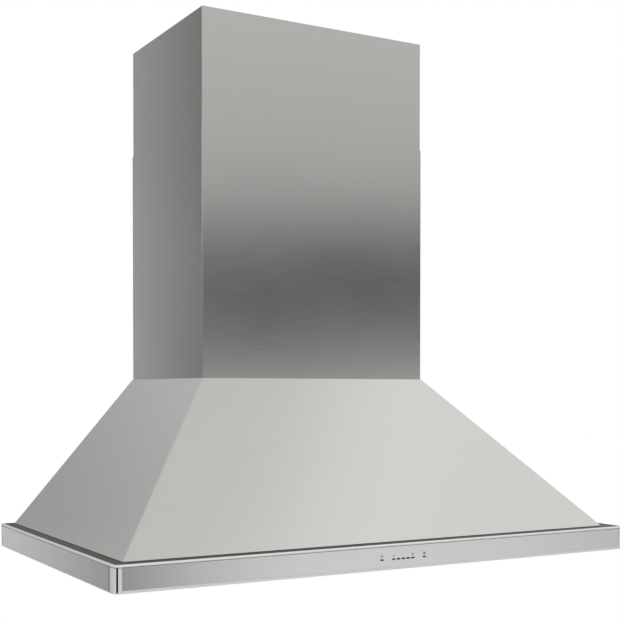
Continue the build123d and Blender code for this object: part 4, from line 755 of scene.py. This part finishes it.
class HOOD_OT_controls(bpy.types.Operator):
    """Make the lit and unlit light guides and the printed touch marks"""

    bl_idname = "hood.controls"
    bl_label = "Touch controls"

    def execute(self, context):
        sizes = context.scene.hood_controls
        low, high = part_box("indicator_lights")
        middle = (low + high) / 2
        outer = (high.x - low.x - sizes.light_width) / 2
        row = [(i - 2) * sizes.light_pitch for i in range(5)]
        lit = glowing_guide("lit_blue_guide", "#0e0930", sizes.glow_colour, 0.6)
        dark = moulded_plastic("smoked_guide", "#050507", 0.5)
        for name, offsets, material, replaced in (
            ("light_guides_lit", [-outer, row[0], outer], lit, ["indicator_lights"]),
            ("light_guides_dark", row[1:], dark, []),
        ):
            shape = bmesh.new()
            for offset in offsets:
                size = (sizes.light_width, high.y - low.y, high.z - low.z)
                add_block(shape, middle + Vector((offset, 0, 0)), size, sizes.light_edge)
            add_piece(name, shape, material, "hood", replaced)
        dress(["touch_board"], circuit_board("circuit_board"))
        dress(["control_carrier"], moulded_plastic("black_abs_carrier", "#1b1b1c", 0.5))
        self.print_marks(sizes, middle, outer, row)
        return {"FINISHED"}

    def print_marks(self, sizes, middle, outer, row):
        """Prints a ring, a minus, a plus and a disc over four of the lights."""
        face_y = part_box("front_fascia")[0].y - sizes.ink_film / 2
        level = middle.z + sizes.mark_rise
        size = sizes.mark_height
        bar = size / 4
        turned = Matrix.Rotation(math.radians(90), 4, "X")
        shape = bmesh.new()
        ring_spot = Matrix.Translation((middle.x - outer, face_y, level)) @ turned
        made = bmesh.ops.create_circle(shape, radius=size / 2, segments=24, matrix=ring_spot)
        edges = list({e for v in made["verts"] for e in v.link_edges})
        inner = bmesh.ops.extrude_edge_only(shape, edges=edges)["geom"]
        inner = [item for item in inner if isinstance(item, bmesh.types.BMVert)]
        shrink = (size - 2 * bar) / size
        bmesh.ops.scale(shape, vec=(shrink,) * 3, space=ring_spot.inverted(), verts=inner)
        disc_spot = Matrix.Translation((middle.x + outer, face_y, level)) @ turned
        bmesh.ops.create_circle(shape, radius=size / 2, segments=24, cap_ends=True, matrix=disc_spot)
        bmesh.ops.solidify(shape, geom=shape.faces, thickness=sizes.ink_film)
        for x in (middle.x + row[0], middle.x + row[-1]):
            add_block(shape, (x, face_y, level), (size, sizes.ink_film, bar))
        arm = (size - bar) / 2
        for side in (-1, 1):
            centre = (middle.x + row[-1], face_y, level + side * (bar + arm) / 2)
            add_block(shape, centre, (bar, sizes.ink_film, arm))
        ink = moulded_plastic("grey_screen_print", "#80808a", 0.6)
        add_piece("touch_marks", shape, ink, "hood")


class HOOD_OT_underside(bpy.types.Operator):
    """Finish the underside panel and the grease trough, and make the cross-recess screws"""

    bl_idname = "hood.underside"
    bl_label = "Underside"

    def execute(self, context):
        finish = context.scene.hood_finish
        steel = brushed_stainless("brushed_stainless_underside", "#c6c6c4", 0.28, finish.grain_mm)
        dress(["underside_panel", "grease_trough"], steel)
        zinc_plate = turned_metal("zinc_plated_screw", "#c4c2bb", 0.3)
        for group in ("panel_screws", "cover_screws", "blower_screws"):
            shape = bmesh.new()
            for low, high in islands(group):
                add_screw(shape, low, high, context.scene.hood_screws)
            add_piece(f"cross_{group}", shape, zinc_plate, "hood", [group])
        return {"FINISHED"}


class HOOD_OT_filters(bpy.types.Operator):
    """Finish the three baffle filters and their latches, and make the rivets that hold the channels"""

    bl_idname = "hood.filters"
    bl_label = "Baffle filters"

    def execute(self, context):
        finish = context.scene.hood_finish
        steel = brushed_stainless("satin_stainless_filter", "#c2c2c0", 0.3, finish.grain_mm)
        dress(side_names("filter_frame") + side_names("filter_baffles"), steel)
        dress(side_names("filter_latch"), turned_metal("spring_steel_latch", "#b9b9b6", 0.26))
        rivet_steel = turned_metal("peened_steel_rivet", "#b4b4b0", 0.32)
        for side in ("left", "centre", "right"):
            self.rivet_channels(context.scene.hood_rivets, side, rivet_steel)
        return {"FINISHED"}

    def rivet_channels(self, sizes, side, rivet_steel):
        """Puts one rivet at each end of every lower channel, with its dome on the frame's lower face."""
        low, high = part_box(f"filter_baffles_{side}")
        face_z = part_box(f"filter_frame_{side}")[0].z
        count = round((high.x - low.x - sizes.channel_width) / sizes.channel_pitch) + 1
        flat = sizes.dome_height / sizes.dome_radius
        shape = bmesh.new()
        for i in range(count):
            x = (low.x + high.x) / 2 + (i - (count - 1) / 2) * sizes.channel_pitch
            for y in (low.y + sizes.end_inset, high.y - sizes.end_inset):
                dome = bmesh.ops.create_uvsphere(shape, u_segments=12, v_segments=6, radius=sizes.dome_radius)
                bmesh.ops.scale(shape, vec=(1, 1, flat), verts=dome["verts"])
                bmesh.ops.translate(shape, vec=(x, y, face_z), verts=dome["verts"])
        add_piece(f"filter_rivets_{side}", shape, rivet_steel, f"filter_{side}")


class HOOD_OT_lamps(bpy.types.Operator):
    """Finish the two lamps and their driver"""

    bl_idname = "hood.lamps"
    bl_label = "Lamps"

    def execute(self, context):
        nickel = turned_metal("satin_nickel_lamp_cup", "#c9c7c2", 0.28)
        dress(["lamp_housing_left", "lamp_housing_right"], nickel)
        dress(["lamp_lens_left", "lamp_lens_right"], frosted_glass())
        low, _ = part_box("lamp_boards")
        dress(["lamp_boards"], lamp_board(low.z + CHIP_HEIGHT))
        dress(["led_driver"], moulded_plastic("white_abs_driver", "#d8d8d2", 0.45))
        return {"FINISHED"}


class HOOD_OT_blower(bpy.types.Operator):
    """Finish the blower, its motor and its outlet with the damper, and fill the wheel with its blades"""

    bl_idname = "hood.blower"
    bl_label = "Blower and outlet"

    def execute(self, context):
        zinc = galvanised_steel()
        dress(["blower_deck", "blower_brackets", "motor_bracket", "fan_wheel"], zinc)
        dress(["blower_scroll", "blower_side_left", "blower_side_right", "outlet_transition"], zinc)
        dress(["back_panel", "panel_rail", "ceiling_bracket"], zinc)
        dress(["fan_motor"], satin_paint("black_motor_enamel", "#26272a", 0.35))
        dress(["fan_shaft", "damper_rod"], turned_metal("ground_steel_shaft", "#c8c8c8", 0.18))
        plastic = moulded_plastic("black_polypropylene", "#232325", 0.5)
        dress(["duct_collar", "damper_flap_front", "damper_flap_rear"], plastic)
        self.fill_wheel(context.scene.hood_wheel, zinc)
        return {"FINISHED"}

    def fill_wheel(self, sizes, zinc):
        """The wheel's ring of forward-curved blades, all but the one that its solid has, which points into
        the wall."""
        low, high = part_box("fan_wheel")
        axle = (low + high) / 2
        root = sizes.inlet_radius + sizes.blade_sheet
        span = (high.z - low.z) / 2 - sizes.blade_sheet - root
        half_width = (high.x - low.x) / 2 - sizes.end_cover
        # a blade rises along a parabola through its root, its camber at half way and its lean at the tip
        slope = 4 * sizes.blade_camber - sizes.blade_lean
        shape = bmesh.new()
        for vert in bmesh.ops.create_grid(shape, x_segments=1, y_segments=6, size=1)["verts"]:
            way = (vert.co.y + 1) / 2
            rise = slope * way + (sizes.blade_lean - slope) * way**2
            vert.co = Vector((vert.co.x * half_width, root + span * way, rise))
        shape.normal_update()
        bmesh.ops.solidify(shape, geom=shape.faces, thickness=sizes.blade_sheet)
        bmesh.ops.translate(shape, vec=axle, verts=shape.verts)
        turn = 2 * math.pi / sizes.blade_count
        bmesh.ops.rotate(shape, cent=axle, matrix=Matrix.Rotation(turn, 3, "X"), verts=shape.verts)
        copies = sizes.blade_count - 2
        bmesh.ops.spin(
            shape,
            geom=list(shape.verts) + list(shape.edges) + list(shape.faces),
            cent=axle,
            axis=(1, 0, 0),
            angle=turn * copies,
            steps=copies,
            use_duplicate=True,
        )
        add_piece("fan_blades", shape, zinc, "fan")


class HOOD_OT_electrics(bpy.types.Operator):
    """Finish the control box, what stands in it, and the cable gland"""

    bl_idname = "hood.electrics"
    bl_label = "Electrics"

    def execute(self, context):
        dress(["control_box", "control_box_lid"], bpy.data.materials["galvanised_steel"])
        _, wall_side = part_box("relay_board")
        board = circuit_board("relay_circuit_board", "#1c4f9c", wall_side.y - BOARD_STANDOFF)
        dress(["relay_board"], board)
        can = turned_metal("drawn_aluminium_can", "#cccdd0", 0.3)
        dress(["motor_capacitor", "capacitor_nut"], can)
        dress(["cable_gland"], moulded_plastic("black_nylon_gland", "#202022", 0.45))
        return {"FINISHED"}


class HOOD_OT_stage(bpy.types.Operator):
    """Set up the floor, the room, the lamps and the camera"""

    bl_idname = "hood.stage"
    bl_label = "Studio"

    def execute(self, context):
        studio = context.scene.hood_studio
        self.make_floor(studio)
        self.light_room(context.scene, studio)
        self.hang_lamps(studio)
        self.place_camera(context.scene, studio)
        context.scene.view_settings.view_transform = "Standard"
        return {"FINISHED"}

    def make_floor(self, studio):
        """A round pale floor below the hood."""
        shape = bmesh.new()
        bmesh.ops.create_circle(shape, radius=studio.floor_radius, segments=96, cap_ends=True)
        bmesh.ops.translate(shape, vec=(0, 0, -studio.floor_drop), verts=shape.verts)
        mesh = bpy.data.meshes.new("studio_floor")
        shape.to_mesh(mesh)
        shape.free()
        floor = bpy.data.objects.new("studio_floor", mesh)
        bpy.context.scene.collection.objects.link(floor)
        material, tree = new_material("pale_studio_floor")
        pale = add_node(tree, "BsdfDiffuse", {}, {"Color": (*hex_to_linear("#f4f4f2"), 1)})
        white = add_node(tree, "Emission", {}, {"Color": (1, 1, 1, 1), "Strength": 1.0})
        eye = add_node(tree, "LightPath", {}, {}).outputs["Is Camera Ray"]
        bleach = add_node(tree, "Math", {"operation": "MULTIPLY"}, {0: eye, 1: studio.floor_bleach})
        both = {0: bleach.outputs[0], 1: pale.outputs[0], 2: white.outputs[0]}
        mixed = add_node(tree, "MixShader", {}, both)
        add_node(tree, "OutputMaterial", {}, {"Surface": mixed.outputs[0]})
        mesh.materials.append(material)

    def light_room(self, scene, studio):
        """A white room for the eye and for reflections, with dark flags where the steel shows them."""
        world = bpy.data.worlds.new("studio_room")
        world.use_nodes = True
        tree = world.node_tree
        tree.nodes.clear()
        rays = add_node(tree, "LightPath", {}, {}).outputs
        either = {0: rays["Is Glossy Ray"], 1: rays["Is Transmission Ray"]}
        mirrored = add_node(tree, "Math", {"operation": "MAXIMUM"}, either).outputs[0]
        even, seen, flagged = (
            add_node(tree, "Background", {}, {"Color": (1, 1, 1, 1), "Strength": strength}).outputs[0]
            for strength in (studio.room_light, 1.0, self.flags(tree))
        )
        unseen = add_node(tree, "MixShader", {}, {0: mirrored, 1: even, 2: flagged}).outputs[0]
        room = add_node(tree, "MixShader", {}, {0: rays["Is Camera Ray"], 1: unseen, 2: seen})
        add_node(tree, "OutputWorld", {}, {"Surface": room.outputs[0]})
        scene.world = world

    def flags(self, tree):
        """How bright the room looks in a reflection, by the way that it points: rise is its angle above the
        horizon, turn its angle from straight out of the wall towards the right, and aside the same to
        either side."""
        place = add_node(tree, "TexCoord", {}, {})
        parts = add_node(tree, "SeparateXYZ", {}, {0: place.outputs["Generated"]})
        rise = add_node(tree, "Math", {"operation": "ARCSINE"}, {0: parts.outputs["Z"]}).outputs[0]
        ahead = add_node(tree, "Math", {"operation": "MULTIPLY"}, {0: parts.outputs["Y"], 1: -1.0}).outputs[0]
        turn = add_node(tree, "Math", {"operation": "ARCTAN2"}, {0: parts.outputs["X"], 1: ahead}).outputs[0]
        aside = add_node(tree, "Math", {"operation": "ABSOLUTE"}, {0: turn}).outputs[0]

        def step(angle, start_deg, end_deg, start, end):
            """A share that goes softly from start to end as an angle goes from start_deg to end_deg."""
            inputs = {
                "Value": angle,
                "From Min": math.radians(start_deg),
                "From Max": math.radians(end_deg),
                "To Min": start,
                "To Max": end,
            }
            return add_node(tree, "MapRange", {"interpolation_type": "SMOOTHSTEP"}, inputs).outputs["Result"]

        def product(*factors):
            """Factors multiplied together."""
            result = factors[0]
            for factor in factors[1:]:
                result = add_node(tree, "Math", {"operation": "MULTIPLY"}, {0: result, 1: factor}).outputs[0]
            return result

        # a level dark band in front, a little above the horizon: the duct cover shows it as its shadow
        middle = math.radians(BAND_MIDDLE_DEG)
        off_middle = add_node(tree, "Math", {"operation": "SUBTRACT"}, {0: turn, 1: middle}).outputs[0]
        lean = {0: off_middle, 1: BAND_LEAN, 2: rise}
        leaned = add_node(tree, "Math", {"operation": "MULTIPLY_ADD"}, lean).outputs[0]
        band = product(
            step(leaned, -5.5, 4.9, 0, 1),  # its soft lower edge
            step(rise, 7.1, 9.3, 1, 0.365),  # the upper edge of its core
            step(rise, 9, 40, 1, 0),  # it dies out upwards
            step(turn, -140, -125, 0, 1),  # it ends behind on the left
            step(turn, 19, 26.5, 0.84, 1),  # it is weaker left of what the cover shows in front
            step(turn, 30, 36, 1, 0.945),  # and a little weaker right of that
            step(turn, 60, 100, 1, 0.35),  # and weak on the far right
            step(rise, 4.5, 5.9, 0.965, 1),  # a hint weaker below its core
        )
        # left of what the duct cover shows in front, the room is a shade dimmer above the horizon
        left = product(step(turn, 18, 27, 1, 0), step(rise, 8, 12, 0, 1), LEFT_SHARE)
        # a dark corner low in front, which the left end of the rim shows, and another at its right end
        low = step(rise, -6, -1, 1, 0)
        corner = product(low, step(turn, 3, 13, 0, 1), step(turn, 18.6, 25.4, 1, 0), CORNER_SHARE)
        far_right = step(turn, 38.5, 49.5, 0, 1)
        far_corner = product(low, far_right, step(turn, 55, 70, 1, 0), FAR_CORNER_SHARE)
        # dark walls behind on both sides, deeper near the floor: the left side of the hood shows one
        behind = step(aside, 138, 149, 0, 1)
        wall = product(
            step(aside, 153, 168, 1, 0),
            behind,
            step(rise, 4, 10, 1, 0.985),
            step(rise, 30, 48, 1, 0),
            WALL_SHARE,
        )
        skirting = product(low, behind, step(aside, 159.3, 162.7, 0.41, 0.12))
        # the room's rear is dimmer above the horizon, which the canopy's side shows
        rear = product(
            step(rise, 0, 6, 0, 1), step(rise, 13.6, 29.4, 1, 0.4), step(aside, 163, 170, 0, 1), REAR_SHARE
        )
        # the ceiling dims overhead, and a little where it meets the wall
        room = product(step(rise, 55.6, 62.2, 1.105, 0.86), step(rise, 49.5, 53.5, 0.95, 1))
        for flag in (band, left, corner, far_corner, wall, skirting, rear):
            kept = add_node(tree, "Math", {"operation": "SUBTRACT"}, {0: 1.0, 1: flag}).outputs[0]
            room = product(room, kept)
        return room

    def hang_lamps(self, studio):
        """Two large soft lamps, which shape the matt parts and leave no glare in the steel."""
        for name, spot, size, watts in (
            ("key_lamp", (0.8, -2.0, 3.2), 2.2, studio.key_watts),
            ("fill_lamp", (-2.2, -2.8, 0.6), 2.4, studio.fill_watts),
        ):
            lamp = bpy.data.lights.new(name, "AREA")
            lamp.size = size
            lamp.energy = watts
            holder = bpy.data.objects.new(name, lamp)
            holder.location = spot
            holder.rotation_euler = (LAMP_AIM - Vector(spot)).to_track_quat("-Z", "Y").to_euler()
            holder.visible_glossy = False
            bpy.context.scene.collection.objects.link(holder)

    def place_camera(self, scene, studio):
        """The photograph's viewpoint: left of the hood, at the height of its canopy."""
        lens = bpy.data.cameras.new("photo_camera")
        lens.sensor_width = SENSOR_MM
        lens.lens = studio.focal_px / FRAME_PX * SENSOR_MM
        lens.shift_y = (studio.horizon_px - FRAME_PX / 2) / FRAME_PX
        lens.clip_start = 0.01
        camera = bpy.data.objects.new("photo_camera", lens)
        camera.location = studio.eye
        camera.rotation_euler = (math.radians(90) - studio.pitch, 0, -studio.heading)
        scene.collection.objects.link(camera)
        scene.camera = camera


OPERATORS = (
    HOOD_OT_sheet_metal,
    HOOD_OT_rim,
    HOOD_OT_controls,
    HOOD_OT_underside,
    HOOD_OT_filters,
    HOOD_OT_lamps,
    HOOD_OT_blower,
    HOOD_OT_electrics,
    HOOD_OT_stage,
)


class HOOD_PT_sidebar(bpy.types.Panel):
    bl_idname = "HOOD_PT_sidebar"
    bl_label = "Chimney range hood"
    bl_space_type = "VIEW_3D"
    bl_region_type = "UI"
    bl_category = "Hood"

    def draw(self, context):
        layout = self.layout
        for group in GROUPS:
            settings = getattr(context.scene, group)
            box = layout.box()
            for name in settings.__annotations__:
                box.prop(settings, name)
        for operator in OPERATORS:
            layout.operator(operator.bl_idname)


GROUPS = {
    "hood_finish": HoodFinish,
    "hood_controls": HoodControls,
    "hood_screws": HoodScrews,
    "hood_rivets": HoodRivets,
    "hood_wheel": HoodWheel,
    "hood_studio": HoodStudio,
}
CLASSES = (*GROUPS.values(), *OPERATORS, HOOD_PT_sidebar)


def register():
    for cls in CLASSES:
        bpy.utils.register_class(cls)
    for name, group in GROUPS.items():
        setattr(bpy.types.Scene, name, bpy.props.PointerProperty(type=group))


def unregister():
    for name in GROUPS:
        delattr(bpy.types.Scene, name)
    for cls in reversed(CLASSES):
        bpy.utils.unregister_class(cls)


def main():
    """Registers the add-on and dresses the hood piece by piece."""
    register()
    for operator in OPERATORS:
        group, name = operator.bl_idname.split(".")
        getattr(getattr(bpy.ops, group), name)()


if __name__ == "__main__":
    main()
